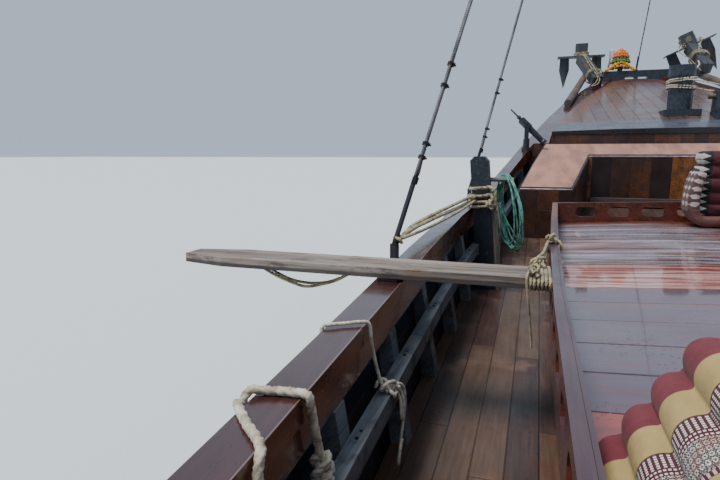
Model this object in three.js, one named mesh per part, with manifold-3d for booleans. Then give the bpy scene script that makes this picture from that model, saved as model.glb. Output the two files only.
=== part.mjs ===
// A wooden tour boat in the style of a pirate junk: raised foredeck with anchors, side decks
// inside framed bulwarks, a raised lounge deck with a pierced rail, a main mast with a boom,
// an aft cabin under a quarterdeck with the helm, a rudder and a propeller.
// Millimetres, +X to the bow, +Y to port, +Z up. The origin is on the waterline amidships.
import * as THREE from "three";
import { mergeVertices } from "three/addons/utils/BufferGeometryUtils.js";
import Module from "manifold-3d";

const wasm = await Module();
wasm.setup();

// Driving dimensions of the hull and deck.
const SEAT_GAP = 0.3; // gap between pieces that rest on each other
const BULWARK_HEIGHT = 700; // cap rail top above the main deck
const DECK_THICKNESS = 45;
const CAP_THICKNESS = 75; // cap rail board
const RAIL_DEPTH = 180; // cap board and the beam under it
const FORECASTLE_X = 6600; // aft face of the raised foredeck
const BOW_X = 12000;
const STERN_X = -12000;

// Sheer and plan of the cap rail: distance forward, height of its top, half breadth outside.
const RAIL_LINE = [
  { x: -12000, z: 3300, y: 1900 },
  { x: -9000, z: 2420, y: 2380 },
  { x: -6000, z: 1930, y: 2640 },
  { x: -3000, z: 1760, y: 2740 },
  { x: -1110, z: 1810, y: 2750 },
  { x: 450, z: 1897, y: 2750 },
  { x: 2170, z: 2000, y: 2727 },
  { x: 4360, z: 2150, y: 2563 },
  { x: 5700, z: 2420, y: 2385 },
  { x: 6800, z: 2712, y: 2194 },
  { x: 9070, z: 3372, y: 1674 },
  { x: 11270, z: 4002, y: 1006 },
  { x: 12000, z: 4240, y: 750 },
];

// Underwater body: keel depth and half width, bilge corner, and the corner below the wale.
const HULL_LINES = [
  { x: -12000, keelZ: 600, keelY: 700, bilgeZ: 800, bilgeY: 1150, sideZ: 1200, sideY: 1450 },
  { x: -10500, keelZ: -20, keelY: 250, bilgeZ: 300, bilgeY: 1150, sideZ: 800, sideY: 1800 },
  { x: -9000, keelZ: -500, keelY: 140, bilgeZ: -150, bilgeY: 1300, sideZ: 450, sideY: 2080 },
  { x: -6000, keelZ: -1000, keelY: 130, bilgeZ: -700, bilgeY: 1500, sideZ: 150, sideY: 2400 },
  { x: -3000, keelZ: -1200, keelY: 130, bilgeZ: -900, bilgeY: 1700, sideZ: 0, sideY: 2530 },
  { x: 1000, keelZ: -1250, keelY: 130, bilgeZ: -950, bilgeY: 1750, sideZ: 0, sideY: 2560 },
  { x: 4000, keelZ: -1200, keelY: 130, bilgeZ: -850, bilgeY: 1450, sideZ: 100, sideY: 2380 },
  { x: 6500, keelZ: -900, keelY: 140, bilgeZ: -450, bilgeY: 950, sideZ: 500, sideY: 1880 },
  { x: 8000, keelZ: -350, keelY: 180, bilgeZ: 150, bilgeY: 650, sideZ: 1200, sideY: 1450 },
  { x: 9500, keelZ: 650, keelY: 260, bilgeZ: 1050, bilgeY: 560, sideZ: 1900, sideY: 1060 },
  { x: 11000, keelZ: 2000, keelY: 380, bilgeZ: 2250, bilgeY: 560, sideZ: 2650, sideY: 720 },
  { x: 12000, keelZ: 2950, keelY: 480, bilgeZ: 3050, bilgeY: 560, sideZ: 3150, sideY: 600 },
];

const STATIONS = [
  -12000, -10800, -9600, -8400, -7200, -6000, -4500, -3000, -1500, 0, 1200, 2400, 3400, 4200, 4900,
  5500, 6050, 6600, 6601, 7300, 8200, 9200, 10200, 11100, 12000,
];

const COLOURS = {
  varnish: [0x5a2a1c, 0.35, 0],
  weathered: [0x8a8478, 0.85, 0],
  deckWood: [0x5d4a3c, 0.8, 0],
  foredeckWood: [0x9a8078, 0.45, 0],
  hullPaint: [0x2a2320, 0.6, 0],
  blackTimber: [0x23282c, 0.7, 0],
  blackIron: [0x2b2b2b, 0.6, 0.6],
  bronze: [0x8a6a3a, 0.4, 0.9],
  wire: [0x4a4744, 0.6, 0.5],
  mat: [0xc79c86, 0.55, 0],
  canvas: [0x6b2f24, 0.9, 0],
  cushion: [0x8a3f38, 0.9, 0],
  ropeTan: [0xb8a684, 0.95, 0],
  ropeTeal: [0x3f8f86, 0.9, 0],
};

// Smooth curve through a table's rows: cubic pieces with slopes from the neighbouring rows.
function readTable(rows, key, x) {
  const last = rows.length - 1;
  let i = rows.findIndex((row) => row.x > x) - 1;
  if (i < 0) i = x <= rows[0].x ? 0 : last - 1;
  const slope = (k) => {
    const a = rows[Math.max(k - 1, 0)];
    const b = rows[Math.min(k + 1, last)];
    return (b[key] - a[key]) / (b.x - a.x);
  };
  const [p, q] = [rows[i], rows[i + 1]];
  const span = q.x - p.x;
  const t = THREE.MathUtils.clamp((x - p.x) / span, 0, 1);
  const [t2, t3] = [t * t, t * t * t];
  return (
    p[key] * (2 * t3 - 3 * t2 + 1) +
    slope(i) * span * (t3 - 2 * t2 + t) +
    q[key] * (3 * t2 - 2 * t3) +
    slope(i + 1) * span * (t3 - t2)
  );
}

// Between stations every piece runs straight, so that neighbours meet along their whole length,
// and past the first and last rows it goes on as it was.
function straight(rows, key, x) {
  const beyond = x > rows.at(-1).x;
  const i = beyond ? rows.length - 1 : Math.max(1, rows.findIndex((row) => row.x >= x));
  const [a, b] = [rows[i - 1], rows[i]];
  return a[key] + ((b[key] - a[key]) * (x - a.x)) / (b.x - a.x);
}
const stationRows = (rows, key) => STATIONS.map((x) => ({ x, [key]: readTable(rows, key, x) }));
const railHeights = stationRows(RAIL_LINE, "z");
const railBreadths = stationRows(RAIL_LINE, "y");
const railZ = (x) => straight(railHeights, "z", x);
const railY = (x) => straight(railBreadths, "y", x);
const deckZ = (x) => railZ(x) - BULWARK_HEIGHT;
const between = (a, b) => [a, ...STATIONS.filter((x) => x > a && x < b), b];
const ON_DECK = between(STERN_X, FORECASTLE_X);

// The cap is a narrow board on the bulwarks and a wide one round the raised foredeck.
function capWidth(x) {
  if (x <= FORECASTLE_X) return 135;
  return THREE.MathUtils.lerp(380, 270, (x - FORECASTLE_X) / (BOW_X - FORECASTLE_X));
}

// Solids, by three.js geometry and by joining and cutting.

function solidOf(geometry) {
  const bare = geometry.index ? geometry.toNonIndexed() : geometry.clone();
  bare.deleteAttribute("normal");
  bare.deleteAttribute("uv");
  const merged = mergeVertices(bare, 1e-3);
  return new wasm.Manifold(
    new wasm.Mesh({
      numProp: 3,
      vertProperties: merged.attributes.position.array,
      triVerts: new Uint32Array(merged.index.array),
    }),
  );
}

function geometryOf(solid) {
  const { vertProperties, triVerts } = solid.getMesh();
  const geometry = new THREE.BufferGeometry();
  geometry.setAttribute("position", new THREE.BufferAttribute(vertProperties, 3));
  geometry.setIndex(new THREE.BufferAttribute(triVerts, 1));
  geometry.computeVertexNormals();
  return geometry;
}

const join = (solids) => solids.reduce((sum, solid) => sum.add(solid));

// A box between two corners.
function box(low, high) {
  const geometry = new THREE.BoxGeometry(high[0] - low[0], high[1] - low[1], high[2] - low[2]);
  geometry.translate((low[0] + high[0]) / 2, (low[1] + high[1]) / 2, (low[2] + high[2]) / 2);
  return solidOf(geometry);
}

// A round bar from one point to another, with its own radius at each end.
function bar(from, to, radius, endRadius = radius, sides = 10) {
  const [a, b] = [new THREE.Vector3(...from), new THREE.Vector3(...to)];
  const geometry = new THREE.CylinderGeometry(endRadius, radius, a.distanceTo(b), sides);
  const turn = new THREE.Quaternion().setFromUnitVectors(
    new THREE.Vector3(0, 1, 0),
    b.clone().sub(a).normalize(),
  );
  geometry.applyQuaternion(turn);
  const middle = a.add(b).multiplyScalar(0.5);
  geometry.translate(middle.x, middle.y, middle.z);
  return solidOf(geometry);
}

// Round pins turn in bores whose flats clear the pin's corners.
const PIN_SIDES = 28;
const PIN_GAP = 0.4;
const pin = (from, to, radius) => bar(from, to, radius, radius, PIN_SIDES);
const pinBore = (from, to, radius) =>
  pin(from, to, (radius + PIN_GAP) / Math.cos(Math.PI / PIN_SIDES));

// A flat outline, given as [along, up] points, pushed through the third direction.
function outlineSolid(points, depth, place) {
  const shape = new THREE.Shape(points.map(([u, v]) => new THREE.Vector2(u, v)));
  const geometry = new THREE.ExtrudeGeometry(shape, { depth, bevelEnabled: false });
  geometry.applyMatrix4(place);
  return solidOf(geometry);
}

// Outline in the X-Z plane, from y = low to y = high.
function profileXZ(points, low, high) {
  const place = new THREE.Matrix4().makeBasis(
    new THREE.Vector3(1, 0, 0),
    new THREE.Vector3(0, 0, 1),
    new THREE.Vector3(0, -1, 0),
  );
  place.setPosition(0, high, 0);
  return outlineSolid(points, high - low, place);
}

// Outline in the Y-Z plane, from x = low to x = high.
function profileYZ(points, low, high) {
  const place = new THREE.Matrix4().makeBasis(
    new THREE.Vector3(0, 1, 0),
    new THREE.Vector3(0, 0, 1),
    new THREE.Vector3(1, 0, 0),
  );
  place.setPosition(low, 0, 0);
  return outlineSolid(points, high - low, place);
}

// Outline in the X-Y plane, from z = low to z = high.
function planXY(points, low, high) {
  return outlineSolid(points, high - low, new THREE.Matrix4().setPosition(0, 0, low));
}

// A body along X: ring(x) gives its [y, z] section at each station, in the same order of points.
function loftX(stations, ring) {
  const flat = stations.map((x) => ring(x).map(([y, z]) => new THREE.Vector2(y, z)));
  if (THREE.ShapeUtils.isClockWise(flat[0])) flat.forEach((points) => points.reverse());
  const count = flat[0].length;
  const end = (flat.length - 1) * count;
  const faces = [];
  for (let i = 0; i + 1 < flat.length; i++)
    for (let j = 0; j < count; j++) {
      const [a, b] = [i * count + j, i * count + ((j + 1) % count)];
      faces.push([a, b, b + count], [a, b + count, a + count]);
    }
  const ends = THREE.ShapeUtils.triangulateShape;
  ends(flat[0], []).forEach(([a, b, c]) => faces.push([a, c, b]));
  ends(flat.at(-1), []).forEach(([a, b, c]) => faces.push([end + a, end + b, end + c]));
  const vertices = flat.flatMap((points, i) => points.flatMap(({ x, y }) => [stations[i], x, y]));
  return new wasm.Manifold(
    new wasm.Mesh({
      numProp: 3,
      vertProperties: new Float32Array(vertices),
      triVerts: new Uint32Array(faces.flat()),
    }),
  );
}

// A round cord along a smooth line through points.
function cord(points, radius, steps, sides = 6) {
  const line = new THREE.CatmullRomCurve3(points.map((p) => new THREE.Vector3(...p)));
  const section = new THREE.Shape();
  section.absarc(0, 0, radius, 0, Math.PI * 2);
  return solidOf(
    new THREE.ExtrudeGeometry(section, { extrudePath: line, steps, curveSegments: sides / 2 }),
  );
}

// A closed turned body from a profile of [radius, along] rows, standing on point, along direction.
function turned(profile, point, direction, sides = 16) {
  const geometry = new THREE.LatheGeometry(
    profile.map(([r, h]) => new THREE.Vector2(r, h)),
    sides,
  );
  const turn = new THREE.Quaternion().setFromUnitVectors(
    new THREE.Vector3(0, 1, 0),
    new THREE.Vector3(...direction).normalize(),
  );
  geometry.applyQuaternion(turn);
  geometry.translate(...point);
  return solidOf(geometry);
}

const boat = new THREE.Group();

function put(name, solid, colour) {
  const [color, roughness, metalness] = COLOURS[colour];
  const mesh = new THREE.Mesh(
    geometryOf(solid),
    new THREE.MeshStandardMaterial({ color, roughness, metalness }),
  );
  mesh.name = name;
  boat.add(mesh);
}

const SIDES = [
  { side: "port", s: 1 },
  { side: "starboard", s: -1 },
];

// Hull: planked body up to the deck, with a wale along each side and the keel under it.
const WALE_TOP = 860; // below the cap rail's top
const WALE_BOTTOM = 1000;
const WALE_OUT = 55;
const DECK_FLARE = 95; // how far the side comes in from rail to deck
const PLANK = 45; // bulwark planking

function hullRing(x) {
  const raised = x > FORECASTLE_X;
  const at = (key) => readTable(HULL_LINES, key, x);
  const [zRail, yRail] = [railZ(x), railY(x)];
  const top = zRail - (raised ? RAIL_DEPTH : BULWARK_HEIGHT + DECK_THICKNESS) - SEAT_GAP;
  const topY = yRail - (raised ? 22 : DECK_FLARE);
  const deckTop = raised ? foredeckEdgeZ(x) - DECK_THICKNESS - SEAT_GAP : top + 2;
  const stepY = raised ? yRail - capWidth(x) - 5 : yRail - DECK_FLARE - 60;
  const flank = (z) => {
    const t = (z - at("sideZ")) / (top - at("sideZ"));
    return at("sideY") + (topY - at("sideY")) * t ** 0.8;
  };
  const [waleLow, waleHigh] = [zRail - WALE_BOTTOM, zRail - WALE_TOP];
  const half = [
    [at("keelY"), at("keelZ")],
    [at("bilgeY"), at("bilgeZ")],
    [at("sideY"), at("sideZ")],
    [flank(waleLow), waleLow],
    [flank(waleLow) + WALE_OUT, waleLow + 8],
    [flank(waleHigh) + WALE_OUT, waleHigh - 8],
    [flank(waleHigh), waleHigh],
    [topY, top],
    [stepY, top - 1],
    [stepY - 3, deckTop],
  ];
  return [...half, ...half.map(([y, z]) => [-y, z]).reverse()];
}

// The raised foredeck is one straight slope from its aft edge to the bow beam.
const FOREDECK_AFT_Z = 2840;
const FOREDECK_SLOPE = 0.2444;
const FOREDECK_CROWN = 35;
function foredeckEdgeZ(x) {
  return FOREDECK_AFT_Z + FOREDECK_SLOPE * (x - FORECASTLE_X);
}

const STERNPOST_X = -9300;
const HEEL_X = -11150;
const KEEL_DEPTH = -1500;
const keel = profileXZ(
  [
    [HEEL_X, KEEL_DEPTH],
    [6200, KEEL_DEPTH],
    [7300, -1000],
    [8100, -250],
    [7400, -200],
    [4000, -1000],
    [-6000, -800],
    [STERNPOST_X, -250],
    [STERNPOST_X, KEEL_DEPTH + 90],
    [HEEL_X, KEEL_DEPTH + 90],
  ],
  -110,
  110,
);
const TRANSOM_FORE = STERN_X + 60;
const transomTop = railZ(STERN_X);
const transomHalf = railY(STERN_X) - DECK_FLARE - PLANK - 6;
const transom = profileYZ(
  [
    [-transomHalf, deckZ(STERN_X) - 80],
    [transomHalf, deckZ(STERN_X) - 80],
    [transomHalf, transomTop],
    [-transomHalf, transomTop],
  ],
  STERN_X,
  TRANSOM_FORE,
);

// Bores in the hull for the propeller shaft and for the rudder stock.
const SHAFT = { z: -860, radius: 40, fore: -8640 };
const RUDDER = { x: -10150, stock: 62, top: 420, low: -1400, fore: -10060, aft: -11060 };
const shaftBore = pinBore([SHAFT.fore + 30, 0, SHAFT.z], [STERNPOST_X - 50, 0, SHAFT.z], SHAFT.radius);
const stockBore = pinBore([RUDDER.x, 0, -600], [RUDDER.x, 0, RUDDER.top + 20], RUDDER.stock);
const hull = loftX(STATIONS, hullRing).add(keel).add(transom).subtract(shaftBore).subtract(stockBore);

// It is built in three lengths that butt against each other at bulkheads.
const HULL_JOINTS = { aft: -5000, fore: 4500 };
const afterOf = (solid, x) => solid.trimByPlane([-1, 0, 0], -x);
const forwardOf = (solid, x) => solid.trimByPlane([1, 0, 0], x);
put("hull_stern", afterOf(hull, HULL_JOINTS.aft - SEAT_GAP), "hullPaint");
put("hull_middle", forwardOf(afterOf(hull, HULL_JOINTS.fore - SEAT_GAP), HULL_JOINTS.aft), "hullPaint");
put("hull_bow", forwardOf(hull, HULL_JOINTS.fore), "hullPaint");

const mainDeck = loftX(between(TRANSOM_FORE + SEAT_GAP, FORECASTLE_X), (x) => {
  const y = railY(x) - DECK_FLARE - 46;
  const [low, high] = [deckZ(x) - DECK_THICKNESS + 2, deckZ(x)];
  return [
    [-y, low + SEAT_GAP],
    [y, low + SEAT_GAP],
    [y, high],
    [-y, high],
  ];
});
put("main_deck", mainDeck, "deckWood");

// All that lies below the main deck's top between two stations; pieces that stand on it are cut
// by it.
const belowDeck = loftX(between(-11900, FORECASTLE_X), (x) => [
  [-2500, deckZ(x) - 1500],
  [2500, deckZ(x) - 1500],
  [2500, deckZ(x) + SEAT_GAP],
  [-2500, deckZ(x) + SEAT_GAP],
]);

// Bulwarks: outside planking, frames with a ledge inside, and the deep cap rail on top.
const FRAME_PITCH = 700;
const FRAME_START = -10910;
const FRAME_END = 6300;
const LEDGE_TOP = 400;
const LEDGE = { width: 62, height: 85 };
const FRAME_FOOT_IN = 220; // frame's inner face from the rail's outer edge, at the deck
const FRAME_HEAD_IN = 133; // and under the rail

// The cap rail: a thick board over a beam that is set a little back from the board's edges.
function capRail(s, grow, stations = STATIONS) {
  return loftX(stations, (x) => {
    const [outer, inner] = [railY(x) + grow, railY(x) - capWidth(x) - grow];
    const [top, seam, low] = [railZ(x) + grow, railZ(x) - CAP_THICKNESS, railZ(x) - RAIL_DEPTH];
    return [
      [s * outer, top],
      [s * outer, seam],
      [s * (outer - 8), seam - 5],
      [s * (outer - 8), low],
      [s * (inner + 8), low],
      [s * (inner + 8), seam - 5],
      [s * inner, seam],
      [s * inner, top],
    ];
  });
}

// Mooring posts lean outwards along the bulwarks; a peg inboard carries a coil of rope.
const BITT = { x: 2800, along: 190, across: 150, footY: 2395, headY: 2500, top: 2480 };
const PEG = { x: 2870, z: 2280, in: 285 };
function bittPost(s, grow) {
  const [foot, half] = [deckZ(BITT.x) - 60, BITT.across / 2 + grow];
  return profileYZ(
    [
      [s * (BITT.footY - half), foot],
      [s * (BITT.footY + half), foot],
      [s * (BITT.headY + half), BITT.top - 35],
      [s * (BITT.headY + half - 35), BITT.top + grow],
      [s * (BITT.headY - half + 35), BITT.top + grow],
      [s * (BITT.headY - half), BITT.top - 35],
    ],
    BITT.x - BITT.along / 2 - grow,
    BITT.x + BITT.along / 2 + grow,
  ).subtract(belowDeck);
}
const onPeg = (y) => [PEG.x, y, PEG.z];
const bittPeg = (s, radius) =>
  bar(onPeg(s * (BITT.headY - 40)), onPeg(s * (BITT.headY - PEG.in)), radius, radius, 8);

for (const { side, s } of SIDES) {
  const bulwark = loftX(ON_DECK, (x) => {
    const [y, z] = [railY(x), railZ(x)];
    const low = deckZ(x) - DECK_THICKNESS;
    return [
      [s * (y - DECK_FLARE), low],
      [s * (y - 22), z - RAIL_DEPTH - SEAT_GAP],
      [s * (y - 22 - PLANK), z - RAIL_DEPTH - SEAT_GAP],
      [s * (y - DECK_FLARE - PLANK), low],
    ];
  });
  put(`bulwark_${side}`, bulwark, "hullPaint");

  put(`cap_rail_${side}`, capRail(s, 0, ON_DECK), "varnish");
  put(`foredeck_cap_${side}`, capRail(s, 0, between(FORECASTLE_X + 1, BOW_X)), "varnish");

  const ledge = loftX(between(TRANSOM_FORE + 5, FRAME_END), (x) => {
    const [y, z] = [railY(x) - FRAME_FOOT_IN, deckZ(x) + LEDGE_TOP];
    return [
      [s * y, z - LEDGE.height],
      [s * (y + LEDGE.width), z - LEDGE.height],
      [s * (y + LEDGE.width), z],
      [s * y, z],
    ];
  });
  const frames = [];
  for (let x = FRAME_START; x <= FRAME_END; x += FRAME_PITCH) {
    const width = 90;
    frames.push(
      loftX(between(x - width / 2, x + width / 2), (at) => {
        const [y, z] = [railY(at), railZ(at) - RAIL_DEPTH - SEAT_GAP];
        const foot = deckZ(at) + SEAT_GAP;
        return [
          [s * (y - FRAME_FOOT_IN), foot],
          [s * (y - DECK_FLARE - PLANK - SEAT_GAP), foot],
          [s * (y - 22 - PLANK - SEAT_GAP), z],
          [s * (y - FRAME_HEAD_IN), z],
        ];
      }),
    );
  }
  const clearOfPost = bittPost(s, SEAT_GAP);
  put(`bulwark_frames_${side}`, join([ledge, ...frames]).subtract(clearOfPost), "weathered");
  put(`bitt_post_${side}`, bittPost(s, 0).add(bittPeg(s, 19)), "blackTimber");
}

// Raised foredeck, its bulkhead, and the beam across the bow.
const foredeckY = (x) => railY(x) - capWidth(x) - 6;
const FOREDECK_STATIONS = [6540, ...between(FORECASTLE_X + 1, 11890)];
function foredeckSlab(stations, raise, depth) {
  return loftX(stations, (x) => {
    const [y, z] = [foredeckY(Math.max(x, FORECASTLE_X + 1)), foredeckEdgeZ(x) + raise];
    return [
      [-y, z - depth],
      [y, z - depth],
      [y, z],
      [y * 0.5, z + FOREDECK_CROWN * 0.75],
      [0, z + FOREDECK_CROWN],
      [-y * 0.5, z + FOREDECK_CROWN * 0.75],
      [-y, z],
    ];
  });
}
put("foredeck", foredeckSlab(FOREDECK_STATIONS, 0, DECK_THICKNESS - SEAT_GAP), "foredeckWood");

const BULKHEAD_X = FORECASTLE_X - 50;
const bulkheadHalf = railY(BULKHEAD_X) - FRAME_FOOT_IN - 30;
put(
  "forecastle_bulkhead",
  profileYZ(
    [
      [-bulkheadHalf, deckZ(BULKHEAD_X) + 20],
      [bulkheadHalf, deckZ(BULKHEAD_X) + 20],
      [1790, FOREDECK_AFT_Z - DECK_THICKNESS - 20],
      [-1790, FOREDECK_AFT_Z - DECK_THICKNESS - 20],
    ],
    BULKHEAD_X,
    FORECASTLE_X - SEAT_GAP,
  ),
  "varnish",
);

const BEAM = { low: 4130, high: 4360, half: 715, aft: 11895, fore: 12120 };
const beamSlots = [
  [30, 236],
  [-236, -30],
].map(([a, b]) => box([BEAM.aft - 50, a, 4175], [BEAM.fore + 50, b, 4225]));
const beamBody = box([BEAM.aft, -BEAM.half, BEAM.low], [BEAM.fore, BEAM.half, BEAM.high]);
const bowCaps = SIDES.map(({ s }) => capRail(s, SEAT_GAP, between(10200, BOW_X + 1)));
const hullTop = loftX([11000, BOW_X + 1], (x) => {
  const z = foredeckEdgeZ(x) - DECK_THICKNESS + SEAT_GAP;
  return [
    [-900, z - 300],
    [900, z - 300],
    [900, z],
    [-900, z],
  ];
});
const bowBeam = [...beamSlots, ...bowCaps, hullTop].reduce(
  (solid, cut) => solid.subtract(cut),
  beamBody,
);
put("bow_beam", bowBeam.decompose()[0], "blackTimber");

// A log on each cap at the bow carries the anchor that hangs on it.
const LOG = { aft: [9100, 1540, 3440], fore: [12250, 1010, 4400], radius: 70 };
const mirror = ([x, y, z], s) => [x, s * y, z];
const bowLog = (s, grow) =>
  bar(mirror(LOG.aft, s), mirror(LOG.fore, s), LOG.radius + grow, LOG.radius + grow, 12);

// The anchors are wooden. The port one hangs level with its shank's foot on the cap; the
// starboard one has swung up outboard, and its shank lies along the log.
const ANCHOR_X = 11900;
const SHANK = { aft: 750, radius: 150 };
const ANCHORS = [
  { side: "port", s: 1, y: 1185, top: 4710, tilt: 0, foot: [870, 4060] },
  { side: "starboard", s: -1, y: -1020, top: 4820, tilt: -24, foot: [-1187, 4235] },
];
const anchorFluke = (offset) =>
  profileYZ(
    [
      [offset - 100, 0],
      [offset + 100, 0],
      [offset + 110, -260],
      [offset, -680],
      [offset - 110, -260],
    ],
    190,
    230,
  );
const anchorHead = join([
  box([-60, -510, 0], [240, 510, 22]),
  box([-60, -130, 0], [120, 130, 290]),
  anchorFluke(-350),
  anchorFluke(350),
]);

for (const { side, s, y, top, tilt, foot } of ANCHORS) {
  const clear = capRail(s, SEAT_GAP, between(8200, BOW_X + 1));
  put(`bow_log_${side}`, bowLog(s, 0).subtract(clear).subtract(beamBody), "weathered");

  const shankTop = [ANCHOR_X, y, top - 30];
  const shankFoot = [ANCHOR_X - SHANK.aft, ...foot];
  const anchor = join([
    anchorHead.rotate([tilt, 0, 0]).translate([ANCHOR_X, y, top]),
    bar(shankTop, shankFoot, SHANK.radius, SHANK.radius, 4),
  ]);
  const trimmed = anchor.subtract(bowLog(s, SEAT_GAP)).subtract(clear);
  const biggest = trimmed.decompose().sort((a, b) => b.volume() - a.volume())[0];
  put(`anchor_${side}`, biggest, "blackIron");
}

// Foredeck: a thick black post for the mooring lines, and a windlass beside it.
const POST = { x: 7600, radius: 172, height: 700 };
const onForedeck = (x, y) => {
  const t = Math.abs(y) / foredeckY(x);
  return foredeckEdgeZ(x) + FOREDECK_CROWN * (t < 0.5 ? 1 - 0.5 * t : 1.5 * (1 - t));
};
const belowForedeck = foredeckSlab(FOREDECK_STATIONS.slice(0, 5), SEAT_GAP, 400);
const postBase = onForedeck(POST.x, 0) - 60;
const postTop = onForedeck(POST.x, 0) + POST.height;
const post = join([
  bar([POST.x, 0, postBase], [POST.x, 0, postTop], POST.radius, POST.radius, 16),
  bar([POST.x, 0, postTop - 160], [POST.x, 0, postTop], POST.radius + 16, POST.radius + 16, 16),
  box([POST.x - 250, -250, postBase], [POST.x + 250, 250, postBase + 100]),
]);
put("foredeck_post", post.subtract(belowForedeck), "blackTimber");

const WINDLASS = { x: 7250, low: -1240, high: -420, axisUp: 300, barrel: 95, axle: 38 };
const windlassZ = onForedeck(WINDLASS.x, -800) + WINDLASS.axisUp;
const cheek = (y) =>
  profileXZ(
    [
      [WINDLASS.x - 190, windlassZ - 420],
      [WINDLASS.x + 190, windlassZ - 420],
      [WINDLASS.x + 110, windlassZ + 90],
      [WINDLASS.x - 110, windlassZ + 90],
    ],
    y - 45,
    y + 45,
  );
const axleHole = pinBore(
  [WINDLASS.x, WINDLASS.low - 200, windlassZ],
  [WINDLASS.x, WINDLASS.high + 200, windlassZ],
  WINDLASS.axle,
);
const windlassBed = box(
  [WINDLASS.x - 190, WINDLASS.low - 45, windlassZ - 420],
  [WINDLASS.x + 190, WINDLASS.high + 45, windlassZ - 210],
);
const windlassFrame = join([cheek(WINDLASS.low), cheek(WINDLASS.high), windlassBed]);
put("windlass_frame", windlassFrame.subtract(axleHole).subtract(belowForedeck), "blackTimber");
const onAxle = (y) => [WINDLASS.x, y, windlassZ];
const { low: cheekLow, high: cheekHigh, barrel, axle } = WINDLASS;
put(
  "windlass_barrel",
  join([
    bar(onAxle(cheekLow + 51), onAxle(cheekHigh - 51), barrel, barrel, 12),
    pin(onAxle(cheekLow - 130), onAxle(cheekHigh + 130), axle),
    bar(onAxle(cheekLow - 170), onAxle(cheekLow - 51), 75, 60, 12),
  ]),
  "weathered",
);

// Bench round the well at the foot of the foredeck, with mats on it.
const BENCH = { aft: 4700, inner: 6000, slope: 0.29, topAft: 2073, innerAft: 1620, innerFore: 1360 };
const benchTop = (x) => BENCH.topAft + BENCH.slope * (x - BENCH.aft);
const benchOuter = (x) => railY(x) - FRAME_FOOT_IN - 85;
function benchPlan(inset, aftInset) {
  const [aft, fore] = [BENCH.aft + aftInset, BULKHEAD_X - 1 - inset];
  const port = [
    [BENCH.inner + inset, BENCH.innerFore + inset],
    [aft, BENCH.innerAft + inset],
    [aft, benchOuter(BENCH.aft) - inset],
    [5600, benchOuter(5600) - inset],
    [fore, benchOuter(fore) - inset],
  ];
  return [...port, ...port.map(([x, y]) => [x, -y]).reverse()];
}
const benchSlope = profileXZ(
  [
    [4600, 1000],
    [6600, 1000],
    [6600, benchTop(6600)],
    [4600, benchTop(4600)],
  ],
  -3000,
  3000,
);
const benchBody = planXY(benchPlan(0, 0), 1200, 3200);
const bench = benchBody.intersect(benchSlope).subtract(belowDeck);
put("bow_bench", bench, "varnish");
const MAT_THICKNESS = 42;
const matSlab = profileXZ(
  [
    [4600, benchTop(4600) + SEAT_GAP],
    [6600, benchTop(6600) + SEAT_GAP],
    [6600, benchTop(6600) + MAT_THICKNESS],
    [4600, benchTop(4600) + MAT_THICKNESS],
  ],
  -3000,
  3000,
);
put("bench_mats", planXY(benchPlan(14, 14), 1200, 3400).intersect(matSlab), "mat");

// Raised lounge: a trunk on the main deck, its planked top, and a pierced rail round it.
const LOUNGE = { aft: -4400, fore: 3500, topAft: 1700, slope: 0.0185, crown: 70, thickness: 50 };
const LOUNGE_PLAN = [
  { x: -4400, y: 1905 },
  { x: -1100, y: 1940 },
  { x: 300, y: 1950 },
  { x: 1700, y: 1930 },
  { x: 3500, y: 1871 },
];
const loungeY = (x) => straight(LOUNGE_PLAN, "y", x);
const loungeEdgeZ = (x) => LOUNGE.topAft + LOUNGE.slope * (x - LOUNGE.aft);
const loungeSection = (x, half, low) => {
  const z = loungeEdgeZ(x);
  return [
    [-half, z - low],
    [half, z - low],
    [half, z],
    [half * 0.6, z + LOUNGE.crown * 0.64],
    [0, z + LOUNGE.crown],
    [-half * 0.6, z + LOUNGE.crown * 0.64],
    [-half, z],
  ];
};
const LOUNGE_STATIONS = between(LOUNGE.aft, LOUNGE.fore);
put(
  "lounge_deck",
  loftX(LOUNGE_STATIONS, (x) => loungeSection(x, loungeY(x) - 50, LOUNGE.thickness)),
  "varnish",
);
const trunkSection = (inset, low, high) =>
  loftX(between(LOUNGE.aft + inset, LOUNGE.fore - inset), (x) => {
    const half = loungeY(x) - inset;
    return [
      [-half, deckZ(x) + low],
      [half, deckZ(x) + low],
      [half, loungeEdgeZ(x) + high],
      [-half, loungeEdgeZ(x) + high],
    ];
  });
put(
  "lounge_trunk",
  trunkSection(110, SEAT_GAP, -LOUNGE.thickness - SEAT_GAP).subtract(trunkSection(155, -200, 200)),
  "varnish",
);

const RAIL_BOARD = {
  height: 190,
  thickness: 47,
  slotPitch: 285,
  slotLength: 190,
  slotLow: 55,
  slotHigh: 145,
};
const boardBand = (outset) =>
  loftX(between(LOUNGE.aft - outset, LOUNGE.fore + outset), (x) => {
    const z = loungeEdgeZ(x);
    const half = loungeY(x) - RAIL_BOARD.thickness + outset;
    return [
      [-half, z - 30],
      [half, z - 30],
      [half, z + RAIL_BOARD.height],
      [0, z + RAIL_BOARD.height + LOUNGE.crown * 0.9],
      [-half, z + RAIL_BOARD.height],
    ];
  });
const boardRing = boardBand(RAIL_BOARD.thickness).subtract(
  loftX(LOUNGE_STATIONS, (x) => {
    const half = loungeY(x) - RAIL_BOARD.thickness;
    return [
      [-half, 1500],
      [half, 1500],
      [half, 2400],
      [-half, 2400],
    ];
  }),
);
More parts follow.
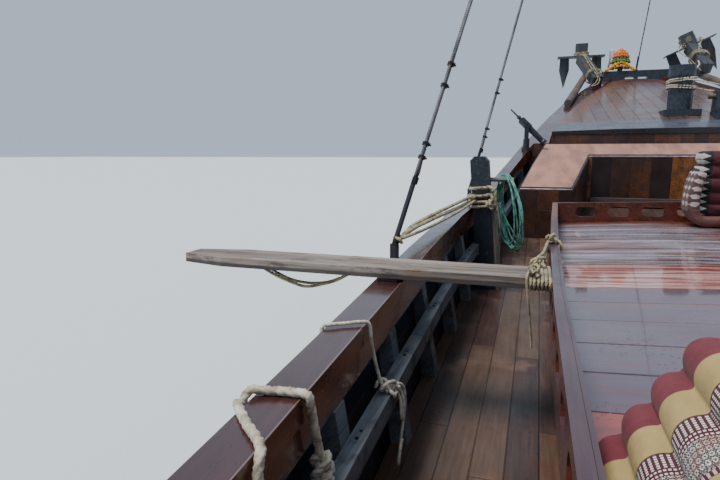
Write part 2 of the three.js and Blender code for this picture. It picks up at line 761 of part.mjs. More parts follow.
// A slot's outline: a box with its corners rounded off in two steps.
function slotOutline(start, z) {
  const [half, rise] = [RAIL_BOARD.slotLength / 2, (RAIL_BOARD.slotHigh - RAIL_BOARD.slotLow) / 2];
  const middle = z + RAIL_BOARD.slotLow + rise;
  const corner = [
    [half, rise - 38],
    [half - 11, rise - 11],
    [half - 38, rise],
  ];
  const turnRound = [...corner].reverse();
  return [
    ...corner,
    ...turnRound.map(([u, v]) => [-u, v]),
    ...corner.map(([u, v]) => [-u, -v]),
    ...turnRound.map(([u, v]) => [u, -v]),
  ].map(([u, v]) => [start + half + u, middle + v]);
}
const boardSlots = [];
for (let x = LOUNGE.aft + 200; x < LOUNGE.fore - 200; x += RAIL_BOARD.slotPitch)
  boardSlots.push(profileXZ(slotOutline(x, loungeEdgeZ(x)), -2100, 2100));
for (let y = -1660; y < 1600; y += RAIL_BOARD.slotPitch) {
  const crown = LOUNGE.crown * (1 - Math.abs(y + RAIL_BOARD.slotLength / 2) / 1900);
  const outline = slotOutline(y, loungeEdgeZ(LOUNGE.fore) + crown);
  boardSlots.push(profileYZ(outline, LOUNGE.fore - 100, LOUNGE.fore + 100));
}
const boardGate = box([LOUNGE.aft - 100, -600, 1500], [LOUNGE.aft + 20, 600, 2400]);
put("lounge_rail", boardRing.subtract(join(boardSlots)).subtract(boardGate), "varnish");

// Gangplank: a weathered board from the lounge rail out over the port cap, with a block on the cap.
const GANG = { aft: 430, fore: 690, top: 1962, thick: 48, inboard: 1956, tip: 3850 };
const gangBoard = planXY(
  [
    [GANG.aft, GANG.inboard],
    [GANG.fore, GANG.inboard],
    [GANG.fore, GANG.tip - 260],
    [GANG.fore - 60, GANG.tip],
    [GANG.aft + 60, GANG.tip],
    [GANG.aft, GANG.tip - 260],
  ],
  GANG.top - GANG.thick,
  GANG.top,
);
const gangBlock = box([GANG.aft + 20, 2640, 1880], [GANG.fore - 20, 2735, GANG.top - GANG.thick + 5]);
put("gangplank", gangBoard.add(gangBlock.subtract(capRail(1, SEAT_GAP))), "weathered");

// Swivel gun on the port cap: a socket post, a fork that turns on it, and the barrel in the fork.
const GUN = { x: 6250, y: 2195, post: 150, reach: 360, breech: 330 };
const gunBase = railZ(GUN.x) + 10;
const gunPivotZ = gunBase + 330;
const gunAt = (dx, dy, z) => [GUN.x + dx, GUN.y + dy, z];
const gunPost = join([
  bar(gunAt(0, 0, gunBase - 40), gunAt(0, 0, gunBase + GUN.post), 46, 42, 12),
  bar(gunAt(0, 0, gunBase - 40), gunAt(0, 0, gunBase + 22), 62, 62, 12),
]);
const gunBore = pinBore(gunAt(0, 0, gunBase + 30), gunAt(0, 0, gunBase + GUN.post + 20), 19);
put("gun_post", gunPost.subtract(capRail(1, SEAT_GAP)).subtract(gunBore), "blackIron");
const forkBase = gunBase + GUN.post + 6;
const forkArm = (dx) =>
  box(gunAt(dx - 9, -30, forkBase + 10), gunAt(dx + 9, 30, gunPivotZ + 34));
const forkBody = join([
  pin(gunAt(0, 0, gunBase + 45), gunAt(0, 0, forkBase + 5), 19),
  box(gunAt(-79, -30, forkBase), gunAt(79, 30, forkBase + 20)),
  forkArm(-70),
  forkArm(70),
]);
const trunnionHole = pinBore(gunAt(-120, 0, gunPivotZ), gunAt(120, 0, gunPivotZ), 14);
put("gun_fork", forkBody.subtract(trunnionHole), "blackIron");
const GUN_DROOP = THREE.MathUtils.degToRad(45);
const muzzleWay = [0, -Math.cos(GUN_DROOP), -Math.sin(GUN_DROOP)];
const alongGun = (distance) =>
  gunAt(0, muzzleWay[1] * distance, gunPivotZ + muzzleWay[2] * distance);
const GUN_PROFILE = [
  [0, -190],
  [22, -190],
  [30, -160],
  [20, -140],
  [52, -120],
  [55, 40],
  [44, 60],
  [36, 300],
  [48, 320],
  [48, 358],
  [0, 360],
];
const gunBarrel = join([
  turned(GUN_PROFILE, alongGun(0), muzzleWay, 14),
  pin(gunAt(-90, 0, gunPivotZ), gunAt(90, 0, gunPivotZ), 14),
  bar(alongGun(-150), alongGun(-GUN.breech), 13, 10, 8),
]).subtract(bar(alongGun(200), alongGun(380), 24, 24, 12));
put("gun_barrel", gunBarrel, "blackIron");

// Main mast, its boom with the furled sail, and the standing rigging.
const MAST = { x: 4200, foot: 175, head: 85, top: 14200, hounds: 13100 };
const mastRadius = (z) =>
  THREE.MathUtils.lerp(MAST.foot, MAST.head, (z - 1400) / (MAST.top - 1400));
const mastBase = deckZ(MAST.x) - 40;
const mastBody = (grow) =>
  join([
    bar([MAST.x, 0, mastBase], [MAST.x, 0, MAST.top], MAST.foot + grow, MAST.head + grow, 16),
    bar([MAST.x, 0, MAST.hounds - 90], [MAST.x, 0, MAST.hounds + 40], 128 + grow, 128 + grow, 16),
    bar([MAST.x, 0, mastBase], [MAST.x, 0, mastBase + 200], 235 + grow, 215 + grow, 16),
  ]).subtract(belowDeck);
const BOOM = { z: 4050, pin: 3920, end: -2900, radius: 75 };
const gooseneckEars = [BOOM.z - 70, BOOM.z + 40].map((z) =>
  box([BOOM.pin - 45, -45, z], [MAST.x, 45, z + 30]),
);
const pinHole = pinBore([BOOM.pin, 0, BOOM.z - 120], [BOOM.pin, 0, BOOM.z + 120], 19);
put("main_mast", join([mastBody(0), ...gooseneckEars]).subtract(pinHole), "varnish");
const boomSpar = (grow) =>
  bar([BOOM.pin - 100, 0, BOOM.z], [BOOM.end, 0, BOOM.z], BOOM.radius + grow, 60 + grow, 12);
put(
  "main_boom",
  join([
    boomSpar(0),
    box([BOOM.pin - 120, -34, BOOM.z - 34], [BOOM.pin + 34, 34, BOOM.z + 34]),
    pin([BOOM.pin, 0, BOOM.z - 85], [BOOM.pin, 0, BOOM.z + 85], 19),
  ]),
  "varnish",
);
const SAIL = { fore: 3500, aft: -2600, bulge: 170 };
put(
  "furled_sail",
  loftX([-2600, -1900, -900, 300, 1600, 2700, 3500], (x) => {
    const t = (x - SAIL.aft) / (SAIL.fore - SAIL.aft);
    const r = SAIL.bulge * (0.55 + 0.45 * Math.sin(Math.PI * Math.min(1, 0.15 + t)));
    const z = BOOM.z + 30;
    return [
      [-r * 0.6, z],
      [r * 0.6, z],
      [r, z + r * 0.8],
      [r * 0.7, z + r * 1.7],
      [0, z + r * 2],
      [-r * 0.7, z + r * 1.7],
      [-r, z + r * 0.8],
    ];
  }).subtract(boomSpar(SEAT_GAP)),
  "canvas",
);

// Each shroud is a wire from the mast's hounds to a strap on the bulwark's outside.
const SHROUD = { radius: 12, screw: 15, screwLength: 420, standOut: 30 };
function shroud(s, x) {
  const y = railY(x) + SHROUD.standOut;
  const foot = new THREE.Vector3(x, s * y, railZ(x) + 50);
  const head = new THREE.Vector3(MAST.x, s * 60, MAST.hounds);
  const way = head.clone().sub(foot).normalize();
  const up = (distance) => foot.clone().addScaledVector(way, distance).toArray();
  const across = (from, to) => [s * from, s * to].sort((a, b) => a - b);
  const strapY = across(railY(x - 40) + 3, railY(x - 40) + 19);
  const lugY = across(railY(x - 40) + 3, y + 14);
  return join([
    box([x - 40, strapY[0], foot.z - 480], [x + 40, strapY[1], foot.z + 20]),
    box([x - 10, lugY[0], foot.z - 60], [x + 10, lugY[1], foot.z + 30]),
    bar(up(0), up(SHROUD.screwLength), SHROUD.screw, SHROUD.screw, 8),
    bar(up(SHROUD.screwLength - 10), head.toArray(), SHROUD.radius, SHROUD.radius, 8),
  ]).subtract(mastBody(SEAT_GAP));
}
const SHROUD_X = { aft: 900, fore: 3500 };
for (const { side, s } of SIDES)
  for (const [place, x] of Object.entries(SHROUD_X))
    put(`shroud_${side}_${place}`, shroud(s, x), "wire");
const stayFoot = [12010, 0, BEAM.high + SEAT_GAP];
put(
  "forestay",
  join([
    bar(stayFoot, [MAST.x, 0, MAST.hounds], 12, 12, 8),
    box([stayFoot[0] - 40, -30, stayFoot[2]], [stayFoot[0] + 40, 30, stayFoot[2] + 24]),
  ])
    .subtract(mastBody(SEAT_GAP))
    .subtract(box([11800, -100, 4000], [12200, 100, BEAM.high + SEAT_GAP])),
  "wire",
);

// Aft cabin: four walls with window openings and a door, under the quarterdeck.
const CABIN = { fore: -6200, aft: -10400, half: 1700, wall: 50, top: 3302, sill: 2250, head: 2850 };
const QUARTERDECK = { fore: -5850, aft: -12250, half: 1950, low: 3303, high: 3430 };
const DOOR = { half: 360, top: 3120, gap: 7, leaf: 40 };
const doorSill = deckZ(CABIN.fore) + 60;
const doorHole = box(
  [CABIN.fore - 100, -DOOR.half, doorSill],
  [CABIN.fore + 100, DOOR.half, DOOR.top],
);
const frontWindows = [-1350, 650].map((y) =>
  box([CABIN.fore - 100, y, CABIN.sill], [CABIN.fore + 100, y + 700, CABIN.head]),
);
const foreWall = box(
  [CABIN.fore - CABIN.wall, -CABIN.half, 1000],
  [CABIN.fore, CABIN.half, CABIN.top],
);
const HINGE = {
  x: CABIN.fore + 16,
  y: DOOR.half + 8,
  radius: 9,
  heights: [doorSill + 320, DOOR.top - 320],
};
const onHinge = (z) => [HINGE.x, HINGE.y, z];
const hingeRod = (make) => make(onHinge(doorSill + 150), onHinge(DOOR.top - 150), HINGE.radius);
const hingeEyes = [doorSill + 190, DOOR.top - 240].map((z) =>
  box([CABIN.fore - 10, HINGE.y - 2, z], [HINGE.x + 17, HINGE.y + 22, z + 50]).add(
    box([CABIN.fore + 1, HINGE.y - 17, z], [HINGE.x + 17, HINGE.y + 22, z + 50]),
  ),
);
put(
  "cabin_front",
  [doorHole, ...frontWindows, belowDeck, hingeRod(pinBore)].reduce(
    (wall, cut) => wall.subtract(cut),
    join([foreWall, ...hingeEyes]),
  ),
  "varnish",
);
const aftWall = box(
  [CABIN.aft, -CABIN.half, 1000],
  [CABIN.aft + CABIN.wall, CABIN.half, CABIN.top],
);
const aftWindows = [-1200, 500].map((y) =>
  box([CABIN.aft - 100, y, 2450], [CABIN.aft + 200, y + 700, 2950]),
);
put(
  "cabin_back",
  [...aftWindows, belowDeck].reduce((wall, cut) => wall.subtract(cut), aftWall),
  "varnish",
);
const SIDE_WINDOWS = [
  { x: -9700, sill: CABIN.sill + 150 },
  { x: -8600, sill: CABIN.sill },
  { x: -7500, sill: CABIN.sill },
];
for (const { side, s } of SIDES) {
  const [low, high] = [s * (CABIN.half - CABIN.wall), s * CABIN.half].sort((a, b) => a - b);
  const wall = box(
    [CABIN.aft + CABIN.wall + SEAT_GAP, low, 1000],
    [CABIN.fore - CABIN.wall - SEAT_GAP, high, CABIN.top],
  );
  const windows = SIDE_WINDOWS.map(({ x, sill }) =>
    box([x, low - 50, sill], [x + 750, high + 50, CABIN.head]),
  );
  put(
    `cabin_side_${side}`,
    [...windows, belowDeck].reduce((solid, cut) => solid.subtract(cut), wall),
    "varnish",
  );
}
const doorLeaf = box(
  [CABIN.fore - DOOR.leaf, -DOOR.half + DOOR.gap, doorSill + DOOR.gap],
  [CABIN.fore, DOOR.half - DOOR.gap, DOOR.top - DOOR.gap],
);
const knobAt = (x) => [x, -DOOR.half + 90, CABIN.sill];
const doorKnob = bar(knobAt(CABIN.fore - 5), knobAt(CABIN.fore + 55), 22, 28, 10);
const hingeStraps = HINGE.heights.flatMap((z) => [
  box([CABIN.fore - 5, DOOR.half - 260, z - 40], [CABIN.fore + 20, DOOR.half - DOOR.gap - 1, z + 40]),
  box([CABIN.fore + 6, DOOR.half - 60, z - 40], [CABIN.fore + 20, HINGE.y, z + 40]),
]);
put("cabin_door", join([doorLeaf, doorKnob, hingeRod(pin), ...hingeStraps]), "varnish");

const quarterPosts = SIDES.map(({ s }) => {
  const x = QUARTERDECK.fore - 90;
  return box([x - 50, s * 1820 - 50, deckZ(x) - 60], [x + 50, s * 1820 + 50, QUARTERDECK.low + 5]);
});
put(
  "quarterdeck",
  join([
    box(
      [QUARTERDECK.aft, -QUARTERDECK.half, QUARTERDECK.low],
      [QUARTERDECK.fore, QUARTERDECK.half, QUARTERDECK.high],
    ),
    ...quarterPosts,
  ]).subtract(belowDeck),
  "deckWood",
);

const RAILING = {
  height: 850,
  post: 80,
  pitch: 1250,
  bar: 60,
  inset: 90,
  ladderLow: -1500,
  ladderHigh: -800,
};
const railingX = [QUARTERDECK.aft + RAILING.inset, QUARTERDECK.fore - RAILING.inset];
const railingY = QUARTERDECK.half - RAILING.inset;
const railingBar = (from, to, low, high, half) =>
  box(
    [Math.min(from[0], to[0]) - half, Math.min(from[1], to[1]) - half, low],
    [Math.max(from[0], to[0]) + half, Math.max(from[1], to[1]) + half, high],
  );
const railingRuns = [
  [[railingX[0], -railingY], [railingX[0], railingY]],
  [[railingX[0], railingY], [railingX[1], railingY]],
  [[railingX[0], -railingY], [railingX[1], -railingY]],
  [[railingX[1], RAILING.ladderHigh], [railingX[1], railingY]],
  [[railingX[1], -railingY], [railingX[1], RAILING.ladderLow]],
];
const railingBase = QUARTERDECK.high + SEAT_GAP;
const railingTop = railingBase + RAILING.height;
const railing = railingRuns.flatMap(([from, to]) => {
  const length = Math.hypot(to[0] - from[0], to[1] - from[1]);
  const count = Math.max(1, Math.round(length / RAILING.pitch));
  const posts = [];
  for (let i = 0; i <= count; i++) {
    const at = [0, 1].map((k) => THREE.MathUtils.lerp(from[k], to[k], i / count));
    posts.push(railingBar(at, at, railingBase, railingTop - RAILING.bar / 2, RAILING.post / 2));
  }
  return [
    railingBar(from, to, railingTop - RAILING.bar, railingTop, RAILING.bar),
    ...posts,
  ];
});
put("quarterdeck_railing", join(railing), "varnish");

// Ladder from the main deck to the gap in the quarterdeck's railing.
const LADDER = {
  footX: -5150,
  headX: QUARTERDECK.fore + 12,
  low: RAILING.ladderLow + 60,
  high: RAILING.ladderHigh - 60,
};
const ladderFoot = deckZ(LADDER.footX) - 40;
const stringer = (y) =>
  profileXZ(
    [
      [LADDER.footX + 110, ladderFoot],
      [LADDER.footX - 30, ladderFoot],
      [LADDER.headX, QUARTERDECK.high - 20],
      [LADDER.headX, QUARTERDECK.high + 30],
      [LADDER.headX + 110, QUARTERDECK.high + 30],
    ],
    y,
    y + 45,
  );
const treads = [];
const RISE = (QUARTERDECK.high - ladderFoot) / 9;
for (let i = 1; i < 9; i++) {
  const t = i / 9;
  const x = LADDER.footX + (LADDER.headX - LADDER.footX) * t;
  const z = ladderFoot + RISE * i;
  treads.push(box([x + 2, LADDER.low + 10, z - 35], [x + 130, LADDER.high - 10, z]));
}
put(
  "quarterdeck_ladder",
  join([stringer(LADDER.low), stringer(LADDER.high - 45), ...treads]).subtract(belowDeck),
  "weathered",
);

// Helm: a pedestal with the steering wheel on its aft side.
const HELM = { x: -6900, width: 300, height: 760, axisZ: QUARTERDECK.high + 700, rim: 430 };
const wheelX = HELM.x - HELM.width / 2 - 70;
const pedestalTop = railingBase + HELM.height;
const helmBore = pinBore([HELM.x + 50, 0, HELM.axisZ], [wheelX, 0, HELM.axisZ], 25);
const pedestal = join([
  box([HELM.x - 210, -210, railingBase], [HELM.x + 210, 210, railingBase + 90]),
  box([HELM.x - 150, -150, railingBase + 80], [HELM.x + 150, 150, pedestalTop]),
  bar([HELM.x, 0, pedestalTop - 10], [HELM.x, 0, pedestalTop + 110], 110, 90, 12),
]);
put("helm_pedestal", pedestal.subtract(helmBore), "varnish");
const spokes = [];
for (let i = 0; i < 8; i++) {
  const angle = (i * Math.PI) / 4;
  const out = (r) => [wheelX, r * Math.sin(angle), HELM.axisZ + r * Math.cos(angle)];
  spokes.push(bar(out(40), out(HELM.rim + 150), 17, 17, 8));
}
const rimProfile = [
  [HELM.rim - 35, -24],
  [HELM.rim + 35, -24],
  [HELM.rim + 35, 24],
  [HELM.rim - 35, 24],
  [HELM.rim - 35, -24],
];
put(
  "helm_wheel",
  join([
    turned(rimProfile, [wheelX, 0, HELM.axisZ], [1, 0, 0], 32),
    bar([wheelX - 45, 0, HELM.axisZ], [wheelX + 60, 0, HELM.axisZ], 80, 80, 16),
    pin([wheelX, 0, HELM.axisZ], [HELM.x + 20, 0, HELM.axisZ], 25),
    ...spokes,
  ]),
  "varnish",
);

// Mizzen mast on the quarterdeck.
const MIZZEN = { x: -9000, foot: 115, head: 60, top: 9500 };
put(
  "mizzen_mast",
  join([
    bar([MIZZEN.x, 0, railingBase], [MIZZEN.x, 0, MIZZEN.top], MIZZEN.foot, MIZZEN.head, 14),
    bar([MIZZEN.x, 0, railingBase], [MIZZEN.x, 0, railingBase + 130], 175, 160, 14),
  ]),
  "varnish",
);

// Propeller on its shaft, and the rudder behind it.
const PROP = { x: -9560, radius: 400 };
const blade = (turn) => {
  const outline = [
    [-60, 50],
    [60, 50],
    [150, 200],
    [130, 330],
    [40, PROP.radius],
    [-80, 370],
    [-140, 250],
  ];
  const place = new THREE.Matrix4()
    .makeRotationX(turn)
    .multiply(new THREE.Matrix4().makeRotationZ(THREE.MathUtils.degToRad(58)))
    .multiply(
      new THREE.Matrix4().makeBasis(
        new THREE.Vector3(1, 0, 0),
        new THREE.Vector3(0, 0, 1),
        new THREE.Vector3(0, -1, 0),
      ),
    );
  const placed = new THREE.Matrix4().setPosition(PROP.x, 0, SHAFT.z).multiply(place);
  return outlineSolid(outline, 16, placed.multiply(new THREE.Matrix4().setPosition(0, 0, -8)));
};
put(
  "propeller",
  join([
    ...[0, 1, 2].map((i) => blade((i * 2 * Math.PI) / 3)),
    turned(
      [
        [0, -110],
        [75, -110],
        [82, 0],
        [70, 90],
        [30, 150],
        [0, 160],
      ],
      [PROP.x, 0, SHAFT.z],
      [-1, 0, 0],
      16,
    ),
    pin([PROP.x + 50, 0, SHAFT.z], [SHAFT.fore, 0, SHAFT.z], SHAFT.radius),
  ]),
  "bronze",
);
const rudderBlade = profileXZ(
  [
    [RUDDER.fore, RUDDER.low + 10],
    [RUDDER.aft, RUDDER.low + 110],
    [RUDDER.aft - 60, -560],
    [RUDDER.fore, -640],
  ],
  -38,
  38,
);
put(
  "rudder",
  rudderBlade.add(
    pin([RUDDER.x, 0, RUDDER.low], [RUDDER.x, 0, RUDDER.top], RUDDER.stock),
  ),
  "hullPaint",
);

// Soft goods on the lounge deck: a wedge cushion near the port rail and a folded mattress forward.
const loungeTop = (x, y) => {
  const t = Math.abs(y) / (loungeY(x) - 50);
  const crown = t < 0.6 ? 1 - 0.6 * t : 1.6 * (1 - t);
  return loungeEdgeZ(x) + LOUNGE.crown * crown;
};
const WEDGE = { aft: -1190, fore: -640, portY: 1882, ridgeY: 1665, inY: 1448, height: 352 };
put(
  "wedge_cushion",
  loftX([WEDGE.aft, WEDGE.fore], (x) => {
    const low = loungeTop(x, WEDGE.inY) + SEAT_GAP;
    return [
      [WEDGE.inY, low],
      [WEDGE.portY, low],
      [WEDGE.portY - 8, low + 40],
      [WEDGE.ridgeY + 25, low + WEDGE.height],
      [WEDGE.ridgeY - 25, low + WEDGE.height],
      [WEDGE.inY + 8, low + 40],
    ];
  }),
  "cushion",
);
const MATTRESS = { aft: 3060, stack: 3130, fore: 3420, low: 330, high: 800, panel: 75, top: 2535 };
const mattressPanel = loftX([MATTRESS.aft, MATTRESS.fore], (x) => {
  const [inner, outer] = [loungeTop(x, MATTRESS.low), loungeTop(x, MATTRESS.high)];
  return [
    [MATTRESS.low, inner + SEAT_GAP],
    [MATTRESS.high, outer + SEAT_GAP],
    [MATTRESS.high, outer + MATTRESS.panel],
    [MATTRESS.low, inner + MATTRESS.panel],
  ];
});
const mattressStack = box(
  [MATTRESS.stack, MATTRESS.low, loungeTop(MATTRESS.fore, MATTRESS.low) + MATTRESS.panel / 2],
  [MATTRESS.fore, MATTRESS.high, MATTRESS.top],
);
const curlFoot = loungeTop(MATTRESS.fore, MATTRESS.high) + MATTRESS.panel / 2;
const mattressCurl = profileYZ(
  [
    [MATTRESS.high - 80, curlFoot],
    [MATTRESS.high, curlFoot],
    [MATTRESS.high + 50, curlFoot + 80],
    [MATTRESS.high + 58, curlFoot + 190],
    [MATTRESS.high + 30, curlFoot + 330],
    [MATTRESS.high - 20, curlFoot + 440],
    [MATTRESS.high - 80, curlFoot + 440],
  ],
  MATTRESS.stack - 50,
  MATTRESS.fore - 30,
);
put("folded_mattress", join([mattressPanel, mattressStack, mattressCurl]), "cushion");

// Ropes, each along a line of points chosen by hand.
const WHITE_ROPE = [
  [-1045, 2560, 1535],
  [-1040, 2572, 1600],
  [-1025, 2588, 1700],
  [-1005, 2596, 1785],
  [-980, 2601, 1832],
  [-945, 2630, 1835],
  [-900, 2680, 1838],
  [-850, 2728, 1841],
  [-812, 2760, 1842],
  [-788, 2771, 1824],
  [-763, 2771, 1828],
  [-742, 2762, 1850],
  [-727, 2725, 1847],
  [-716, 2670, 1848],
  [-714, 2628, 1848],
  [-710, 2600, 1843],
  [-699, 2596, 1800],
  [-684, 2594, 1742],
  [-662, 2592, 1670],
  [-642, 2590, 1611],
];
const portCap = capRail(1, SEAT_GAP);
put("white_rope", cord(WHITE_ROPE, 14.5, 36, 8).subtract(portCap), "ropeTan");

const THIN_ROPE = [
  [10, 2560, 1586],
  [-30, 2575, 1610],
  [-70, 2590, 1700],
  [-100, 2599, 1790],
  [-122, 2604, 1866],
  [-140, 2635, 1876],
  [-170, 2690, 1874],
  [-200, 2740, 1873],
  [-212, 2759, 1862],
  [-214, 2766, 1800],
  [-212, 2764, 1700],
  [-210, 2766, 1600],
  [-208, 2768, 1500],
];
put("thin_rope", cord(THIN_ROPE, 8, 36, 8).subtract(portCap), "ropeTan");

// A line leads from turns round the port mooring post down to the after shroud.
const MOORING_LINE = [
  [2700, 2515, 2110],
  [2500, 2545, 2090],
  [2100, 2590, 2062],
  [1700, 2640, 2043],
  [1300, 2690, 2030],
  [1000, 2745, 2022],
  [930, 2762, 2020],
];
put(
  "mooring_line",
  cord(MOORING_LINE, 11, 30, 8).subtract(shroud(1, SHROUD_X.aft, SEAT_GAP)),
  "ropeTan",
);

// A hank of rope hangs on the peg of the port mooring post.
const HANK = { x: 2890, y: 2284, half: 55, top: 2330, low: 1640, wide: 125 };
const hankOutline = [];
for (let i = 0; i <= 8; i++) {
  const angle = (Math.PI * i) / 8;
  hankOutline.push([Math.cos(angle), Math.sin(angle), HANK.top - HANK.wide]);
}
for (let i = 8; i <= 16; i++) {
  const angle = (Math.PI * i) / 8;
  hankOutline.push([Math.cos(angle), Math.sin(angle), HANK.low + HANK.wide]);
}
const hankPoints = hankOutline.map(([along, up, z]) => [
  HANK.x + HANK.wide * along,
  z + HANK.wide * up,
]);
const hankBody = profileXZ(hankPoints, HANK.y - HANK.half, HANK.y + HANK.half);
put("rope_hank", hankBody.subtract(bittPeg(1, 20)), "ropeTeal");

export default boat;
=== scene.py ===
"""Looks of a wooden tour boat in the style of a pirate junk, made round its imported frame."""

import math
import random

import bmesh
import bpy
from mathutils import Matrix, Vector


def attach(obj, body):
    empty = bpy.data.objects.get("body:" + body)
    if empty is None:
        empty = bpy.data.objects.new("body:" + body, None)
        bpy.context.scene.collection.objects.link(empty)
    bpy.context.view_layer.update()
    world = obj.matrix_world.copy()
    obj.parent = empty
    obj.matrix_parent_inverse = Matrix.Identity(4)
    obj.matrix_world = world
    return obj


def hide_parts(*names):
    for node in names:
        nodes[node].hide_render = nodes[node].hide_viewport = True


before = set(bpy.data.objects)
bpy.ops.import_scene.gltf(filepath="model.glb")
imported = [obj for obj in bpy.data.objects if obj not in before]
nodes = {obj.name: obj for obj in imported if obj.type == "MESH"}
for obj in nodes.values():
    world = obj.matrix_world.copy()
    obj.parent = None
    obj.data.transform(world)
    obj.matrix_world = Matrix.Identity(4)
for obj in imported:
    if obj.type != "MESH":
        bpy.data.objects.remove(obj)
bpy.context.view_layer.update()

# Camera, floor and light. The camera is held at eye height on the port side deck and looks
# forward and a little outboard. The floor lies at the waterline, pale like the sky round it.
eye = Vector((-2.0, 2.03, 2.5))
look_outboard = math.radians(18)
look_down = math.radians(9.05)
level = math.cos(look_down)
look = Vector((level * math.cos(look_outboard), level * math.sin(look_outboard), -math.sin(look_down)))
camera = bpy.data.objects.new("camera", bpy.data.cameras.new("camera"))
camera.data.lens = 27
camera.data.sensor_width = 36
camera.data.clip_end = 1000
camera.location = eye
camera.rotation_mode = "QUATERNION"
camera.rotation_quaternion = look.to_track_quat("-Z", "Y")
bpy.context.scene.collection.objects.link(camera)
bpy.context.scene.camera = camera

sky = bpy.data.worlds.new("pale_sky")
sky.use_nodes = True
sky.node_tree.nodes["Background"].inputs["Color"].default_value = (0.66, 0.79, 0.95, 1)
sky.node_tree.nodes["Background"].inputs["Strength"].default_value = 0.75
bpy.context.scene.world = sky

lamp = bpy.data.lights.new("high_sun", "SUN")
lamp.energy = 3.4
lamp.angle = math.radians(22)
lamp.color = (1.0, 0.96, 0.9)
high_sun = bpy.data.objects.new("high_sun", lamp)
high_sun.rotation_mode = "QUATERNION"
high_sun.rotation_quaternion = Vector((0.28, -0.34, -1)).to_track_quat("-Z", "Y")
bpy.context.scene.collection.objects.link(high_sun)

floor_shape = bmesh.new()
bmesh.ops.create_grid(floor_shape, x_segments=1, y_segments=1, size=400)
floor_mesh = bpy.data.meshes.new("floor")
floor_shape.to_mesh(floor_mesh)
floor_shape.free()
floor_finish = bpy.data.materials.new("floor_pale")
floor_finish.use_nodes = True
floor_surface = floor_finish.node_tree.nodes["Principled BSDF"]
floor_surface.inputs["Base Color"].default_value = (0.7, 0.76, 0.77, 1)
floor_surface.inputs["Roughness"].default_value = 0.9
floor_mesh.materials.append(floor_finish)
floor = bpy.data.objects.new("floor", floor_mesh)
bpy.context.scene.collection.objects.link(floor)


# Ropes at the port rail. Each is three-strand rope, laid up right-handed: a section with three
# lobes that turns as it goes along. The thick one is old white nylon, looped over the cap rail
# and whipped where it ends; the thin one is knotted on the ledge and hangs outboard.
def paint(code):
    """Linear colour with alpha, from a printed colour code such as 5a2a1c."""
    parts = [int(code[i:i + 2], 16) / 255 for i in (0, 2, 4)]
    return (*[p / 12.92 if p < 0.04 else ((p + 0.055) / 1.055) ** 2.4 for p in parts], 1)


def join(value, socket):
    """Feeds a socket from another one, or sets it to a colour code or a plain value."""
    if isinstance(value, bpy.types.NodeSocket):
        socket.id_data.links.new(value, socket)
    else:
        socket.default_value = paint(value) if isinstance(value, str) else value


def add(beside, kind, **values):
    """A node of that kind in the same tree; settings go by name, sockets by label with _ for a space."""
    made = beside.id_data.nodes.new("ShaderNode" + kind)
    for key, value in values.items():
        label = key.replace("_", " ")
        if label in made.inputs:
            join(value, made.inputs[label])
        else:
            setattr(made, key, value)
    return made


def calc(operation, *values):
    """The result of one sum on values, of which one or more are sockets."""
    beside = next(value for value in values if isinstance(value, bpy.types.NodeSocket))
    made = add(beside, "Math", operation=operation)
    for socket, value in zip(made.inputs, values):
        join(value, socket)
    return made.outputs[0]


def plus(first, second):
    return calc("ADD", first, second)


def minus(first, second):
    return calc("SUBTRACT", first, second)


def times(first, second):
    return calc("MULTIPLY", first, second)


def tint(share, first, second):
    """Two colours mixed; the share is that of the second."""
    made = add(share, "Mix", data_type="RGBA", blend_type="MIX")
    for index, value in ((0, share), (6, first), (7, second)):
        join(value, made.inputs[index])
    return made.outputs[2]


def spread(value, low, high, to_low=0.0, to_high=1.0):
    """A value from low to high, drawn out from to_low to to_high and held there."""
    made = add(value, "MapRange", interpolation_type="SMOOTHSTEP", Value=value)
    for label, limit in (("From Min", low), ("From Max", high), ("To Min", to_low), ("To Max", to_high)):
        join(limit, made.inputs[label])
    return made.outputs[0]


def mottle(place, scale, detail=4.0, rough=0.55):
    """Soft noise from 0 to 1 at that many patches to the metre."""
    return add(place, "TexNoise", Vector=place, Scale=scale, Detail=detail, Roughness=rough).outputs[0]


def look_like(surface, **looks):
    """Feeds the shader's sockets by their labels, with _ for a space."""
    for label, value in looks.items():
        join(value, surface.inputs[label.replace("_", " ")])


def new_finish(name, **shader):
    """A material with its shader set; returns the material, its shader and its place."""
    finish = bpy.data.materials.new(name)
    finish.use_nodes = True
    surface = finish.node_tree.nodes["Principled BSDF"]
    look_like(surface, **shader)
    return finish, surface, add(finish.node_tree, "TexCoord").outputs["Object"]


def roughen(surface, height, depth=1.0):
    """Raises the surface by a height map, in metres."""
    bump = add(height, "Bump", Distance=depth, Strength=1.0, Height=height)
    look_like(surface, Normal=bump.outputs["Normal"])


def rope_finish(name, clean, soiled, fuzz=0.0012):
    finish, surface, place = new_finish(name, Roughness=0.85, Sheen_Weight=0.25)
    dirt = mottle(place, 22, 5)
    fibre = mottle(place, 420, 3)
    share = spread(plus(times(fibre, 0.3), dirt), 0.5, 0.85)
    look_like(surface, Base_Color=tint(share, clean, soiled))
    roughen(surface, fibre, fuzz)
    return finish


def smooth_line(points, step):
    """Points about `step` apart on a smooth curve through the given ones."""
    points = [Vector(p) for p in points]
    ends = [points[0] * 2 - points[1], *points, points[-1] * 2 - points[-2]]
    line = []
    for before, start, end, after in zip(ends, ends[1:], ends[2:], ends[3:]):
        count = max(1, round((end - start).length / step))
        for i in range(count):
            t = i / count
            bend = before * 2 - start * 5 + end * 4 - after
            twist = start * 3 - before - end * 3 + after
            line.append(start + (end - before) * (t / 2) + bend * (t * t / 2) + twist * (t ** 3 / 2))
    return [*line, points[-1]]


def length_of(line):
    return sum((b - a).length for a, b in zip(line, line[1:]))


